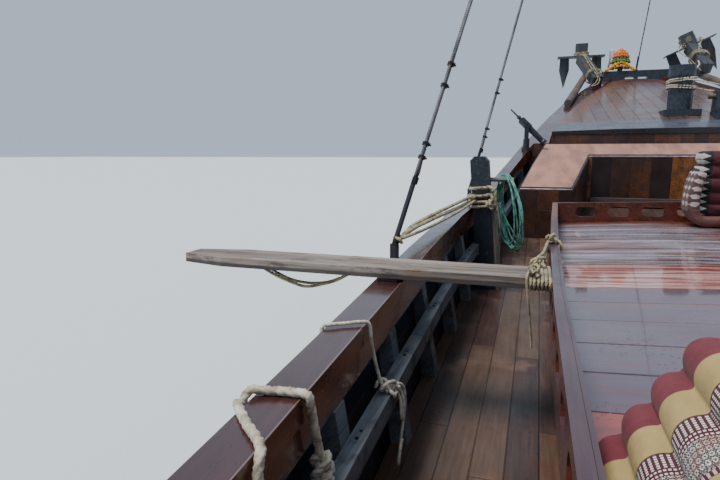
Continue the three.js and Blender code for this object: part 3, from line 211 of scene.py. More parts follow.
def strand_section():
    """A closed outline with three lobes, one metre in radius; each rope scales it down."""
    reaches = (0.8, 0.95, 1.0, 0.95)
    outline = bpy.data.curves.new("strand_section", "CURVE")
    outline.dimensions = "2D"
    ring = outline.splines.new("POLY")
    ring.points.add(11)
    for i in range(12):
        angle = i * math.tau / 12
        reach = reaches[i % 4]
        ring.points[i].co = (reach * math.cos(angle), reach * math.sin(angle), 0, 1)
    ring.use_cyclic_u = True
    made = bpy.data.objects.new("strand_section", outline)
    bpy.context.scene.collection.objects.link(made)
    return made


LAY = 7.0  # rope radii along the rope for one turn of its strands


def swept(name, curve, finish, body):
    """Ends a curve with thickness: makes it a mesh piece of that name, riding on a body."""
    holder = bpy.data.objects.new(name + "_line", curve)
    bpy.context.scene.collection.objects.link(holder)
    bpy.context.view_layer.update()
    mesh = bpy.data.meshes.new_from_object(holder.evaluated_get(bpy.context.evaluated_depsgraph_get()))
    bpy.data.objects.remove(holder)
    mesh.name = name
    mesh.shade_smooth()
    mesh.materials.clear()
    mesh.materials.append(finish)
    made = bpy.data.objects.new(name, mesh)
    bpy.context.scene.collection.objects.link(made)
    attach(made, body)
    return made


def laid_rope(name, routes, radius, finish, body="boat", fineness=0.9):
    """Rope along one or more lines of points, as one piece."""
    curve = bpy.data.curves.new(name, "CURVE")
    curve.dimensions = "3D"
    curve.twist_mode = "MINIMUM"
    curve.bevel_mode = "OBJECT"
    curve.bevel_object = strand_section()
    curve.use_fill_caps = True
    for route in routes:
        line = smooth_line(route, radius * fineness)
        spline = curve.splines.new("POLY")
        spline.points.add(len(line) - 1)
        run = 0
        for i, point in enumerate(line):
            run += (point - line[max(i - 1, 0)]).length
            spline.points[i].co = (*point, 1)
            spline.points[i].radius = radius
            spline.points[i].tilt = math.tau * run / (LAY * radius)
    made = swept(name, curve, finish, body)
    bpy.data.objects.remove(curve.bevel_object)
    return made


def knot_route(centre, size, along=(0, 0, 1)):
    """Points of an overhand knot about that many metres across, drawn tight round a line."""
    turn = Vector(along).to_track_quat("Z", "Y")
    steps = 28
    points = []
    for i in range(steps):
        angle = math.tau * i / steps
        reach = 1 + 0.5 * math.cos(3 * angle)
        flat = Vector((reach * math.cos(2 * angle), reach * math.sin(2 * angle), math.sin(3 * angle)))
        points.append(Vector(centre) + turn @ flat * (size / 3))
    return points


def free_cord(rope, route, diameter, far_end, lay, *knots, step=0.01, places=2):
    """Gathers a rope's diameter, far end, limpness, lay, path and knots in a dict, which is not used."""
    line = smooth_line(route, step)
    says = dict(diameter=diameter, far_end=far_end, stiffness="limp", lay=lay, path=line)
    if knots:
        says["with_pieces"] = list(knots)


white_nylon = rope_finish("rope_white_nylon", "e0d7c2", "8f8069")
grey_line = rope_finish("rope_grey_line", "e2dac8", "9c9382", 0.0008)
tan_line = rope_finish("rope_tan_line", "bdb08c", "6e6650")
teal_line = rope_finish("rope_teal_line", "74c2b1", "23695c", 0.0008)

WHITE_ROUTE = (
    (-1.045, 2.56, 1.535), (-1.04, 2.572, 1.6), (-1.025, 2.588, 1.7), (-1.005, 2.596, 1.785),
    (-0.98, 2.601, 1.832), (-0.945, 2.63, 1.835), (-0.9, 2.68, 1.838), (-0.85, 2.728, 1.841),
    (-0.812, 2.76, 1.842), (-0.788, 2.771, 1.824), (-0.763, 2.771, 1.828), (-0.742, 2.762, 1.85),
    (-0.727, 2.725, 1.847), (-0.716, 2.67, 1.848), (-0.714, 2.628, 1.848), (-0.71, 2.6, 1.843),
    (-0.699, 2.596, 1.8), (-0.684, 2.594, 1.742), (-0.662, 2.592, 1.67), (-0.642, 2.59, 1.611),
)
white_rope = laid_rope("white_rope_laid", [WHITE_ROUTE], 0.0145, white_nylon)
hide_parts("white_rope")
whipping = []
for i in range(4):
    at = Vector((-0.641 + 0.002 * i, 2.59, 1.612 - 0.026 * i))
    whipping.append(knot_route(at, 0.052 + 0.006 * (i % 2), (0.2, 0.1 * (-1) ** i, 1)))
white_knot = laid_rope("white_rope_knot", whipping, 0.0125, white_nylon)
free_cord(white_rope, WHITE_ROUTE, 0.029, "knot", "hanging", white_knot)

THIN_ROUTE = (
    (-0.045, 2.558, 1.582), (-0.068, 2.57, 1.612), (-0.092, 2.586, 1.7), (-0.11, 2.598, 1.79),
    (-0.122, 2.604, 1.866), (-0.14, 2.635, 1.876), (-0.17, 2.69, 1.874), (-0.2, 2.74, 1.873),
    (-0.212, 2.759, 1.862), (-0.214, 2.766, 1.8), (-0.212, 2.764, 1.7), (-0.21, 2.766, 1.6),
    (-0.208, 2.768, 1.5),
)
thin_rope = laid_rope("thin_rope_laid", [THIN_ROUTE], 0.008, grey_line)
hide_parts("thin_rope")
knots = [
    knot_route((-0.043, 2.556, 1.58), 0.085, (1, 0.2, 0.3)),
    knot_route((-0.022, 2.538, 1.572), 0.06, (0.3, 1, -0.4)), knot_route((-0.208, 2.768, 1.494), 0.036),
]
thin_knots = laid_rope("thin_rope_knots", knots, 0.0085, grey_line)
free_cord(thin_rope, THIN_ROUTE, 0.016, "knot", "hanging", thin_knots)
TAIL_ROUTE = (
    (-0.022, 2.535, 1.586), (0.004, 2.518, 1.588), (0.022, 2.503, 1.568), (0.03, 2.496, 1.52),
    (0.026, 2.498, 1.46), (0.01, 2.501, 1.4), (-0.008, 2.503, 1.35), (-0.022, 2.503, 1.31),
    (-0.041, 2.501, 1.285), (-0.07, 2.497, 1.283), (-0.087, 2.492, 1.306), (-0.082, 2.488, 1.345),
    (-0.066, 2.485, 1.39),
)
tail_rope = laid_rope("thin_rope_tail", [TAIL_ROUTE], 0.007, grey_line)
fold = [(-0.022, 2.53, 1.578), (0.008, 2.51, 1.556), (0.01, 2.498, 1.51), (-0.004, 2.498, 1.462)]
fold += [(-0.018, 2.498, 1.45), (-0.02, 2.5, 1.47), (-0.008, 2.506, 1.52), (-0.01, 2.52, 1.56)]
tail_fold = laid_rope("thin_tail_fold", [fold], 0.007, grey_line)
free_cord(tail_rope, TAIL_ROUTE, 0.014, "bare", "hanging", tail_fold)

# The mooring line lies aft along the cap rail from the post that it is made fast to. The teal
# line hangs in a hank on the peg in the same post, and its spare end lies across the hank.
MOORING_ROUTE = (
    (2.7, 2.515, 2.11), (2.5, 2.545, 2.09), (2.1, 2.59, 2.062), (1.7, 2.64, 2.043), (1.3, 2.69, 2.03),
    (1.0, 2.745, 2.022), (0.93, 2.762, 2.02),
)
mooring = laid_rope("mooring_line_laid", [MOORING_ROUTE], 0.011, tan_line)
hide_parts("mooring_line")
mooring_end = [knot_route((0.93, 2.755, 2.022), 0.05, (-0.6, 0.8, 0))]
mooring_knot = laid_rope("mooring_line_knot", mooring_end, 0.011, tan_line)
free_cord(mooring, MOORING_ROUTE, 0.022, "knot", "loose", mooring_knot)

HANK_TURNS, POINTS_PER_TURN = 6, 18
HANK_TOP, HANK_LOW, HANK_HALF = 2.322, 1.654, 0.098  # its two heights and half its width
hank_route = [
    (2.7, 2.4, 2.215), (2.712, 2.372, 2.15), (2.73, 2.315, 2.05), (2.742, 2.262, 1.95), (2.758, 2.205, 1.85),
    (2.792, 2.156, 1.765),
]
for i in range(HANK_TURNS * POINTS_PER_TURN + 2):
    turns = i / POINTS_PER_TURN
    angle = math.tau * (0.58 - turns)
    inner = min(1.0, max(0.0, (turns - 2.8) / 0.6))
    layer = min(turns, HANK_TURNS - turns)
    top = HANK_TOP - 0.017 * inner
    low = HANK_LOW + 0.022 * inner + 0.03 * (1 + math.sin(2.9 * turns))
    half = HANK_HALF - 0.008 * inner
    side = math.sin(angle) * (0.94 - 0.04 * math.cos(angle))
    z = (top + low) / 2 + (top - low) / 2 * math.cos(angle)
    fallen = (top - z) / (top - low)
    bow = 0.018 * math.sin(math.pi * fallen) * math.sin(2.1 * turns + 1)
    depth = 2.258 + 0.018 * layer - fallen * (0.112 - 0.012 * layer) + 0.085 * side + bow
    hank_route.append((2.888 + half * side + 0.012 * math.sin(1.7 * turns) * fallen, depth, z))
hank_route += [(2.884, 2.146, 1.672), (2.912, 2.16, 1.66)]
hank = laid_rope("rope_hank_laid", [hank_route], 0.0068, teal_line, fineness=2.2)
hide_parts("rope_hank")
hank_end = [knot_route((2.925, 2.164, 1.654), 0.03)]
hank_knot = laid_rope("rope_hank_knot", hank_end, 0.0068, teal_line)
free_cord(hank, hank_route, 0.0136, "knot", "coiled", hank_knot, step=0.016, places=1)

# Hull. Ironwood planks on sawn frames, caulked and oiled, with a black wale under the deck edge
# and dull red paint below the water. The planks follow the rail's sweep, so their seams are laid
# out by the distance under it.
RAIL_LINE = (
    (-12.0, 3.3, 1.9), (-9.0, 2.42, 2.38), (-6.0, 1.93, 2.64), (-3.0, 1.76, 2.74), (-1.11, 1.81, 2.75),
    (0.45, 1.897, 2.75), (2.17, 2.0, 2.727), (4.36, 2.15, 2.563), (5.7, 2.42, 2.385), (6.8, 2.712, 2.194),
    (9.07, 3.372, 1.674), (11.27, 4.002, 1.006), (12.0, 4.24, 0.75),
)


def effect(name, takes, gives):
    """An empty node group with named sockets; returns it with what goes in and comes out."""
    group = bpy.data.node_groups.new(name, "ShaderNodeTree")
    for way, sockets in (("INPUT", takes), ("OUTPUT", gives)):
        for label, kind in sockets.items():
            group.interface.new_socket(label, in_out=way, socket_type="NodeSocket" + kind)
    return group, group.nodes.new("NodeGroupInput").outputs, group.nodes.new("NodeGroupOutput").inputs


def use(group, **values):
    """Places an effect beside the first of its inputs; returns what comes out of it."""
    beside = next(iter(values.values()))
    made = add(beside, "Group", node_tree=group)
    for key, value in values.items():
        join(value, made.inputs[key])
    return made.outputs


def scaled(place, x, y, z):
    made = add(place, "VectorMath", operation="MULTIPLY")
    join(place, made.inputs[0])
    join((x, y, z), made.inputs[1])
    return made.outputs[0]


def axes(place):
    """The X, Y and Z of a place or direction."""
    return add(place, "SeparateXYZ", Vector=place).outputs


def facing(place, axis):
    """How far the surface faces along an axis, from -1 to 1."""
    return axes(add(place, "TexCoord").outputs["Normal"])[axis]


# Grain runs along the first axis of the place that it is given.
wood_grain, given, made_out = effect(
    "wood grain", {"Place": "Vector", "Light": "Color", "Dark": "Color"},
    {"Color": "Color", "Height": "Float"},
)
fine = mottle(scaled(given["Place"], 1.1, 30, 30), 2.0, 6, 0.62)
broad = mottle(scaled(given["Place"], 0.5, 5, 5), 1.6, 4, 0.55)
share = plus(times(fine, 0.6), times(broad, 0.5))
share = spread(share, 0.36, 0.76)
join(tint(share, given["Light"], given["Dark"]), made_out["Color"])
join(fine, made_out["Height"])


def drawn_lot(number):
    """A value from 0 to 1 that is always the same for the same number."""
    return add(number, "TexWhiteNoise", noise_dimensions="1D", W=number).outputs["Value"]


# Boards side by side, each row with its butts shifted by its own amount.
board_lines, given, made_out = effect(
    "board lines",
    {"Across": "Float", "Along": "Float", "Width": "Float", "Length": "Float", "Gap": "Float"},
    {"Seam": "Float", "Tone": "Float"},
)
rows = calc("DIVIDE", given["Across"], given["Width"])
row = calc("FLOOR", rows)
own = drawn_lot(row)
butts = plus(calc("DIVIDE", given["Along"], given["Length"]), own)
edge = times(calc("PINGPONG", rows, 0.5), given["Width"])
butt = times(calc("PINGPONG", butts, 0.5), given["Length"])
nearest = calc("DIVIDE", calc("MINIMUM", edge, butt), given["Gap"])
join(spread(nearest, 0.35, 1.0, 1.0, 0.0), made_out["Seam"])
number = plus(times(row, 17.3), calc("FLOOR", butts))
join(drawn_lot(number), made_out["Tone"])

# How far a place lies under the rail's top and in from its outer edge.
from_rail, given, made_out = effect("from rail", {"Place": "Vector"}, {"Below": "Float", "Inboard": "Float"})
parts = axes(given["Place"])
aft_most, fore_most, tallest = RAIL_LINE[0][0], RAIL_LINE[-1][0], 5.0
run_share = add(given["Place"], "MapRange", Value=parts["X"])
run_share.inputs["From Min"].default_value = aft_most
run_share.inputs["From Max"].default_value = fore_most
for column, label, here in ((1, "Below", parts["Z"]), (2, "Inboard", calc("ABSOLUTE", parts["Y"]))):
    sweep = add(given["Place"], "FloatCurve")
    line = sweep.mapping.curves[0]
    for i, station in enumerate(RAIL_LINE):
        at = ((station[0] - aft_most) / (fore_most - aft_most), station[column] / tallest)
        if i in (0, len(RAIL_LINE) - 1):
            line.points[-1 if i else 0].location = at
        else:
            line.points.new(*at)
    sweep.mapping.update()
    join(run_share.outputs[0], sweep.inputs["Value"])
    edge = times(sweep.outputs[0], tallest)
    join(minus(edge, here), made_out[label])


def timber(name, light, dark, way="XYZ", width=0.15, length=3.0, gap=0.004, **looks):
    """Boards along the way's first axis and side by side on its second; the third is depth.

    Looks: seam colour, tones between boards, gloss from and to, coat and its polish, fade
    colour with its share, patches to the metre, relief and groove in metres, and across, which
    gives other seams than the way's.
    """
    finish, surface, place = new_finish(name, Coat_Weight=looks.get("coat", 0.0))
    surface.inputs["Coat Roughness"].default_value = looks.get("polish", 0.12)
    parts = axes(place)
    along, across, depth = (parts[axis] for axis in way)
    if "across" in looks:
        along, across = looks["across"](place, parts)
    seam, tone = use(board_lines, Across=across, Along=along, Width=width, Length=length, Gap=gap)
    laid = add(place, "CombineXYZ", Y=across, Z=depth)
    join(plus(along, times(tone, 9.0)), laid.inputs["X"])
    colour, height = use(wood_grain, Place=laid.outputs[0], Light=light, Dark=dark)
    colour = tint(times(tone, looks.get("tones", 0.4)), colour, dark)
    patches = mottle(place, looks.get("patch", 3.0), 6, 0.6)
    if "fade" in looks:
        worn = spread(patches, 0.62 - 0.3 * looks["faded"], 0.8 - 0.3 * looks["faded"], 0, 0.85)
        colour = tint(worn, colour, looks["fade"])
    colour = tint(seam, colour, looks.get("seam", "0e0b0b"))
    dull = spread(patches, 0.3, 0.7, *looks.get("gloss", (0.4, 0.65)))
    look_like(surface, Base_Color=colour, Roughness=dull)
    relief = times(height, looks.get("relief", 0.0006))
    relief = minus(relief, times(seam, looks.get("groove", 0.003)))
    roughen(surface, relief)
    return finish, surface, place, colour


def dress(finish, *names):
    """Gives CAD nodes their finish."""
    for name in names:
        for held in nodes[name].material_slots:
            held.material = finish


def recolour(surface, share, colour, over):
    """Puts another colour over a material's own where the share is high."""
    colour = tint(share, colour, over)
    look_like(surface, Base_Color=colour)
    return colour


def under_rail(place, parts):
    along = plus(parts["X"], times(parts["Y"], 0.6))
    return along, use(from_rail, Place=place)["Below"]


hull_planks, surface, place, colour = timber(
    "hull_planks", "6a3b24", "2f1a12", width=0.172, length=4.2, gap=0.006, across=under_rail, tones=0.45,
    gloss=(0.35, 0.6), coat=0.15, fade="7d6a5c", faded=0.25, groove=0.004,
)
below = use(from_rail, Place=place)["Below"]
wale = calc("COMPARE", below, 0.93, 0.078)
colour = recolour(surface, wale, colour, "15161a")
height = axes(place)["Z"]
ragged = plus(height, times(mottle(place, 6, 4), -0.07))
colour = recolour(surface, spread(ragged, 0.34, 0.36, 1, 0), colour, "1b1c1e")
colour = recolour(surface, spread(height, 0.095, 0.1, 1, 0), colour, "5c2621")
weed = spread(plus(mottle(place, 14, 5), calc("ABSOLUTE", height)), 0.3, 0.62, 0.7, 0)
recolour(surface, weed, colour, "39402a")
dress(hull_planks, "hull_stern", "hull_middle", "hull_bow")


# Main deck. Narrow teak planks laid fore and aft, walked bare in the side decks and stained with
# red varnish and rust, with tarred seams.
PLANK_WIDTH, PLANK_LENGTH = 0.14, 2.6
deck_planks, surface, place, colour = timber(
    "main_deck_planks", "62493e", "2c201d", width=PLANK_WIDTH, length=PLANK_LENGTH, seam="1c1516", tones=0.5,
    gloss=(0.3, 0.6), coat=0.25, fade="74594e", faded=0.25,
)
stain = spread(mottle(place, 4.5, 6, 0.68), 0.52, 0.7, 0, 0.7)
colour = recolour(surface, stain, colour, "48221b")
spots = spread(mottle(place, 48, 3, 0.5), 0.66, 0.7, 0, 0.8)
colour = recolour(surface, spots, colour, "1c1216")
parts = axes(place)
own_board = use(board_lines, Across=parts["Y"], Along=parts["X"], Width=PLANK_WIDTH, Length=PLANK_LENGTH)
own_tone = own_board["Tone"]
sandy = times(calc("COMPARE", own_tone, 0.12, 0.12), 0.3)
colour = recolour(surface, sandy, colour, "6a5238")
reddish = times(calc("COMPARE", own_tone, 0.5, 0.14), 0.3)
recolour(surface, reddish, colour, "4e2a28")
dress(deck_planks, "main_deck")


# Bulwarks. Planks nailed outside the top timbers: nearly black paint inboard, oiled like the
# hull outboard.
bulwark_planks, surface, place, colour = timber(
    "bulwark_planks", "6a3b24", "341d14", width=0.172, length=3.4, gap=0.006, across=under_rail,
    gloss=(0.4, 0.65), groove=0.004,
)
outward = facing(place, "Y")
side = calc("SIGN", axes(place)["Y"])
inner = spread(times(outward, side), -0.3, 0.3, 1, 0)
navy = tint(spread(mottle(place, 9, 5), 0.45, 0.7), "0c1120", "1d2536")
recolour(surface, inner, colour, navy)
dress(bulwark_planks, "bulwark_port", "bulwark_starboard")


# The top timbers stand against the planks and carry a ledge, all weathered grey. A pair of iron
# nails goes through the ledge into each timber.
def aslant(place, parts):
    return plus(parts["X"], parts["Z"]), plus(parts["Y"], parts["Z"])


frame_wood = timber(
    "bulwark_timbers", "7f858d", "464b54", width=0.4, length=7.0, across=aslant, seam="4c4646",
    gloss=(0.6, 0.85), fade="3a3a40", faded=0.35, patch=7.0, relief=0.0015,
)[0]
dress(frame_wood, "bulwark_frames_port", "bulwark_frames_starboard")


def worn_metal(name, shine, rust, clean, rusty, gloss, grain):
    """Metal with rust or tarnish in patches: the share of rust is drawn out between two values."""
    finish, surface, place = new_finish(name, Metallic=shine)
    scale, rough, *limits = rust
    share = spread(mottle(place, scale, 5, rough), *limits)
    colour = clean if isinstance(clean, str) else tint(mottle(place, *clean[0]), *clean[1:])
    looks = dict(Base_Color=tint(share, colour, rusty), Roughness=spread(share, 0, 1, *gloss))
    look_like(surface, **looks)
    scale, detail, depth = grain
    roughen(surface, mottle(place, scale, detail), depth)
    return finish


iron = worn_metal(
    "black_iron", 0.7, (30, 0.65, 0.5, 0.66), ((8, 3), "2a2e36", "15181d"), "4a2e22", (0.45, 0.85),
    (160, 4, 0.0006),
)


def rail_at(x):
    """Height of the rail's top and half breadth at its outer edge."""
    for (x0, z0, y0), (x1, z1, y1) in zip(RAIL_LINE, RAIL_LINE[1:]):
        if x <= x1:
            t = (x - x0) / (x1 - x0)
            return z0 + (z1 - z0) * t, y0 + (y1 - y0) * t


def finished(name, shape, finish, body="boat", smooth=False):
    """Ends a mesh: makes it an object of that name with one finish, riding on a body."""
    bmesh.ops.recalc_face_normals(shape, faces=shape.faces)
    mesh = bpy.data.meshes.new(name)
    shape.to_mesh(mesh)
    shape.free()
    if smooth:
        mesh.shade_smooth()
    mesh.materials.append(finish)
    made = bpy.data.objects.new(name, mesh)
    bpy.context.scene.collection.objects.link(made)
    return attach(made, body)


def rod(shape, start, end, radius, radius_end=None, sides=12):
    """A round bar from one point to another; returns its corners."""
    start, end = Vector(start), Vector(end)
    turn = (end - start).to_track_quat("Z", "Y").to_matrix().to_4x4()
    return bmesh.ops.create_cone(
        shape, cap_ends=True, segments=sides, radius1=radius,
        radius2=radius if radius_end is None else radius_end, depth=(end - start).length,
        matrix=Matrix.Translation((start + end) / 2) @ turn,
    )["verts"]


def rounded(shape, edges, width, segments):
    return bmesh.ops.bevel(
        shape, geom=list(edges), offset=width, segments=segments, profile=0.5, material=-1, affect="EDGES",
    )


def block(shape, low, high, soft=0.0):
    """A box between two corners, its edges rounded by `soft`; returns its corners."""
    low, high = Vector(low), Vector(high)
    place = Matrix.Translation((low + high) / 2) @ Matrix.Diagonal((*(high - low), 1))
    corners = bmesh.ops.create_cube(shape, size=1, matrix=place)["verts"]
    if not soft:
        return corners
    edges = {edge for corner in corners for edge in corner.link_edges}
    return rounded(shape, edges, soft, 2)["verts"]


TIMBERS, FIRST_TIMBER, TIMBER_STEP = 30, -10.865, 0.7
shape = bmesh.new()
for i in range(TIMBERS):
    x = FIRST_TIMBER + TIMBER_STEP * i
    z, y = rail_at(x)
    for s in (-1, 1):
        for dx in (-0.024, 0.024):
            head = Vector((x + dx, s * (y - 0.185), z - 0.302))
            rod(shape, head, head + Vector((0, 0, 0.006)), 0.008, 0.005, 8)
finished("ledge_nails", shape, iron)


# Cap rails. A varnished board on a deep beam, a finger's width proud of it. The top is painted a
# lilac brown for the sky mirrored in its varnish, with a painted highlight along its inner edge;
# the side is red brown, and scratched by ropes and shoes.
def varnished(name, **looks):
    """Old glossy varnish on red-brown wood, with the sky that it mirrors on top painted in as lilac grey."""
    settings = dict(width=0.5, length=4.8, gap=0.003, tones=0.3, gloss=(0.12, 0.36), coat=0.8)
    settings.update(looks)
    finish, surface, place, colour = timber(name, "6b3222", "3a1912", **settings)
    up = facing(place, "Z")
    # Painted sky reflection: up-facing faces get a lilac grey over the red brown, flecked with dark dirt.
    top = spread(up, 0.35, 0.8)
    specks = spread(mottle(place, 90, 4, 0.7), 0.6, 0.68)
    painted_sky_lilac = tint(mottle(scaled(place, 1, 9, 9), 2.5, 5), "4e2c30", "28120f")
    colour = recolour(surface, top, colour, tint(specks, painted_sky_lilac, "160d10"))
    scratch = mottle(scaled(place, 14, 3, 60), 2.2, 5, 0.7)
    marks = times(spread(scratch, 0.6, 0.7, 0, 0.5), spread(up, 0.3, 0.6, 1, 0))
    colour = recolour(surface, marks, colour, "b08a78")
    return finish, surface, place, colour


rail_varnish, surface, place, colour = varnished("cap_rail_varnish")
inboard = use(from_rail, Place=place)["Inboard"]
# Painted highlight: a thin pale line along the inner edge of the rail's top faces.
inner_edge_highlight = calc("COMPARE", inboard, 0.131, 0.0018)
up = facing(place, "Z")
inner_edge_highlight = times(inner_edge_highlight, spread(up, 0.6, 0.9, 0, 0.5))
recolour(surface, inner_edge_highlight, colour, "9a7f78")
dress(rail_varnish, "cap_rail_port", "cap_rail_starboard", "foredeck_cap_port", "foredeck_cap_starboard")


# Bow beam, logs and anchors. A painted beam lies across the rails with two slots for the anchor
# lines. A log is lashed along each cap, and a wooden-stocked iron anchor hangs on each side, held
# by turns of line round the log and the beam.
def painted(name, light, dark, chips, gloss=(0.4, 0.7)):
    """Thin old paint on timber, worn through in specks."""
    finish, surface, place = new_finish(name, Coat_Weight=0.1)
    grain = mottle(scaled(place, 3, 12, 12), 2.0, 5)
    colour = tint(spread(grain, 0.35, 0.7), light, dark)
    worn = spread(mottle(place, 26, 6, 0.7), 0.6, 0.7)
    colour = tint(worn, colour, chips)
    look_like(surface, Base_Color=colour, Roughness=spread(grain, 0.3, 0.7, *gloss))
    roughen(surface, minus(grain, worn), 0.0012)
    return finish, surface, place, colour


navy_paint = painted("navy_paint", "27303f", "161c29", "6d6a68")[0]
dress(navy_paint, "bow_beam")
log_wood = timber(
    "log_wood", "6f625a", "37302f", "XZY", width=2.0, length=30.0, gap=0.001, gloss=(0.6, 0.85),
    fade="5c4436", faded=0.3, relief=0.003,
)[0]
dress(log_wood, "bow_log_port", "bow_log_starboard")
anchor_wood = timber(
    "anchor_wood", "4b4f56", "23262c", "ZYX", width=0.3, length=9.0, gloss=(0.55, 0.8), fade="5a4638",
    faded=0.25, relief=0.002,
)[0]
dress(anchor_wood, "anchor_port", "anchor_starboard")


def turns_round(centre, axis, wide, tall, count, pitch, lead=(1, 0, 0), steps=14):
    """Route of rope wound round something: an oval of two half widths, about an axis."""
    axis = Vector(axis).normalized()
    first = (Vector(lead) - axis * Vector(lead).dot(axis)).normalized()
    second = axis.cross(first)
    points = []
    for i in range(round(count * steps) + 1):
        angle = math.tau * i / steps
        reach = Vector(centre) + axis * (pitch * (i / steps - count / 2))
        squareness = (abs(math.cos(angle)) ** 5 + abs(math.sin(angle)) ** 5) ** -0.2
        out = 0.45 + 0.55 * squareness
        sideways = first * (wide * math.cos(angle) * out)
        points.append(reach + sideways + second * (tall * math.sin(angle) * out))
    return points


lashings = [
    turns_round((11.3, 0.935, 4.19), (-0.75, -0.315, -0.65), 0.17, 0.17, 3, 0.03, lead=(0, 0, 1)),
    turns_round((11.92, 1.185, 4.77), (0, 0, 1), 0.105, 0.155, 3, 0.025),
    [(11.83, 1.24, 4.735), (11.62, 1.15, 4.7), (11.42, 1.06, 4.5), (11.22, 0.97, 4.32), (11.1, 0.9, 4.2)],
    [(11.83, 1.13, 4.735), (11.6, 1.1, 4.69), (11.42, 1.02, 4.52), (11.2, 0.93, 4.33), (11.09, 0.86, 4.18)],
    [(11.1, 0.9, 4.2), (11.02, 0.88, 4.1), (10.9, 0.92, 4.02), (10.74, 0.98, 3.95), (10.62, 1.03, 3.91)],
    [(11.09, 0.86, 4.18), (11.0, 0.84, 4.08), (10.86, 0.88, 3.98), (10.72, 0.95, 3.93), (10.61, 1.01, 3.91)],
    knot_route((11.09, 0.87, 4.19), 0.11, (0, 0.4, 1)),
    turns_round((11.96, -0.96, 4.96), (0, 0.4, 0.92), 0.115, 0.16, 4, 0.028, lead=(1, 0, 0)),
    turns_round((11.5, -1.11, 4.5), (-0.75, -0.167, -0.585), 0.17, 0.17, 4, 0.03, lead=(0, 0, 1)),
    [
        (11.84, -0.78, 4.73), (11.7, -0.84, 4.62), (11.5, -0.93, 4.5), (11.3, -1.02, 4.34),
        (11.12, -1.08, 4.2),
    ],
    [
        (11.84, -1.22, 4.93), (11.7, -1.16, 4.84), (11.52, -1.1, 4.7), (11.32, -1.12, 4.46),
        (11.14, -1.14, 4.3),
    ],
    knot_route((11.8, -0.85, 4.8), 0.13, (0, 0.4, 1)), knot_route((11.78, -1.16, 4.93), 0.12, (0.3, 0.4, 1)),
]
laid_rope("anchor_lashings", lashings, 0.011, tan_line, fineness=2.5)

# A stub post stands on the bow beam, a little to port of its middle, dressed with fresh flowers: an
# orange garland over a green band, a yellow swag under it, and a strip of pale cloth beside them.
POST_X, POST_Y = 12.0, 0.34
shape = bmesh.new()
rod(shape, (POST_X, POST_Y, 4.355), (POST_X, POST_Y, 4.76), 0.055, 0.05, 16)
finished("garland_post", shape, navy_paint)


def petals(name, light, dark):
    finish, surface, place = new_finish(name, Roughness=0.7, Sheen_Weight=0.3)
    patches = mottle(place, 45, 3)
    look_like(surface, Base_Color=tint(spread(patches, 0.35, 0.65), light, dark))
    roughen(surface, mottle(place, 240, 3), 0.004)
    return finish


def garland(name, finish, route, size, seed):
    """Flower heads threaded close together along a route."""
    shape = bmesh.new()
    wander = random.Random(seed)
    for point in smooth_line(route, size * 0.8):
        twist = Matrix.Rotation(wander.uniform(0, math.tau), 4, "Z")
        place = Matrix.Translation(point) @ twist @ Matrix.Rotation(wander.uniform(-0.7, 0.7), 4, "X")
        verts = bmesh.ops.create_icosphere(shape, subdivisions=2, radius=size / 2, matrix=place)["verts"]
        for i, vert in enumerate(verts):
            vert.co = point + (vert.co - point) * (1.12 if i % 2 else 0.86)
    return finished(name, shape, finish, smooth=True)


def ring(z, radius, sag):
    """A ring round the post, hanging lower on its two sides."""
    turns = [(math.cos(math.tau * i / 16), math.sin(math.tau * i / 16)) for i in range(17)]
    return [(POST_X + radius * c, POST_Y + radius * 1.25 * s, z - sag * abs(s)) for c, s in turns]


marigold = petals("petals_orange", "f08a12", "c8510a")
yellow_petals = petals("petals_yellow", "f3c02c", "d98f14")
leaves = petals("leaves_green", "5d8f3a", "2c5524")
for i, (height, reach) in enumerate(((4.7, 0.12), (4.755, 0.1), (4.8, 0.06), (4.83, 0.025))):
    garland(f"garland_orange_{i}", marigold, ring(height, reach, 0.02), 0.075, i)
for i, (height, reach) in enumerate(((4.59, 0.15), (4.635, 0.13))):
    garland(f"garland_green_{i}", leaves, ring(height, reach, 0.03), 0.06, 5 + i)
swag = [(11.9, 0.63, 4.385), (11.9, 0.55, 4.43), (11.88, 0.45, 4.5), (11.86, 0.34, 4.55)]
swag += [(x, 2 * POST_Y - y, z) for x, y, z in reversed(swag[:-1])]
garland("garland_yellow", yellow_petals, swag, 0.075, 8)
garland("garland_yellow_low", yellow_petals, ring(4.47, 0.14, 0.03), 0.07, 9)

pale_cloth, surface, place = new_finish("pale_cloth", Roughness=0.9, Sheen_Weight=0.3)
folds = mottle(scaled(place, 14, 14, 2), 3, 3)
look_like(surface, Base_Color=tint(folds, "d9d4df", "a9a3b4"))
roughen(surface, folds, 0.01)
CLOTH_DROP = 0.46
shape = bmesh.new()
upright_turn = Matrix.Translation((POST_X, 0.515, 4.63)) @ Matrix.Rotation(math.pi / 2, 4, "Y")
cloth_size = Matrix.Diagonal((CLOTH_DROP, 0.16, 1, 1))
bmesh.ops.create_grid(shape, x_segments=10, y_segments=24, size=0.5, matrix=upright_turn @ cloth_size)
for vert in shape.verts:
    low = (4.86 - vert.co.z) / CLOTH_DROP
    vert.co.x += 0.025 * math.sin(70 * vert.co.y) * (0.3 + low)
    vert.co.y += 0.03 * low * math.sin(9 * vert.co.z)
cloth_strip = finished("garland_cloth", shape, pale_cloth, smooth=True)
thick = cloth_strip.modifiers.new("thickness", "SOLIDIFY")
thick.thickness = 0.003


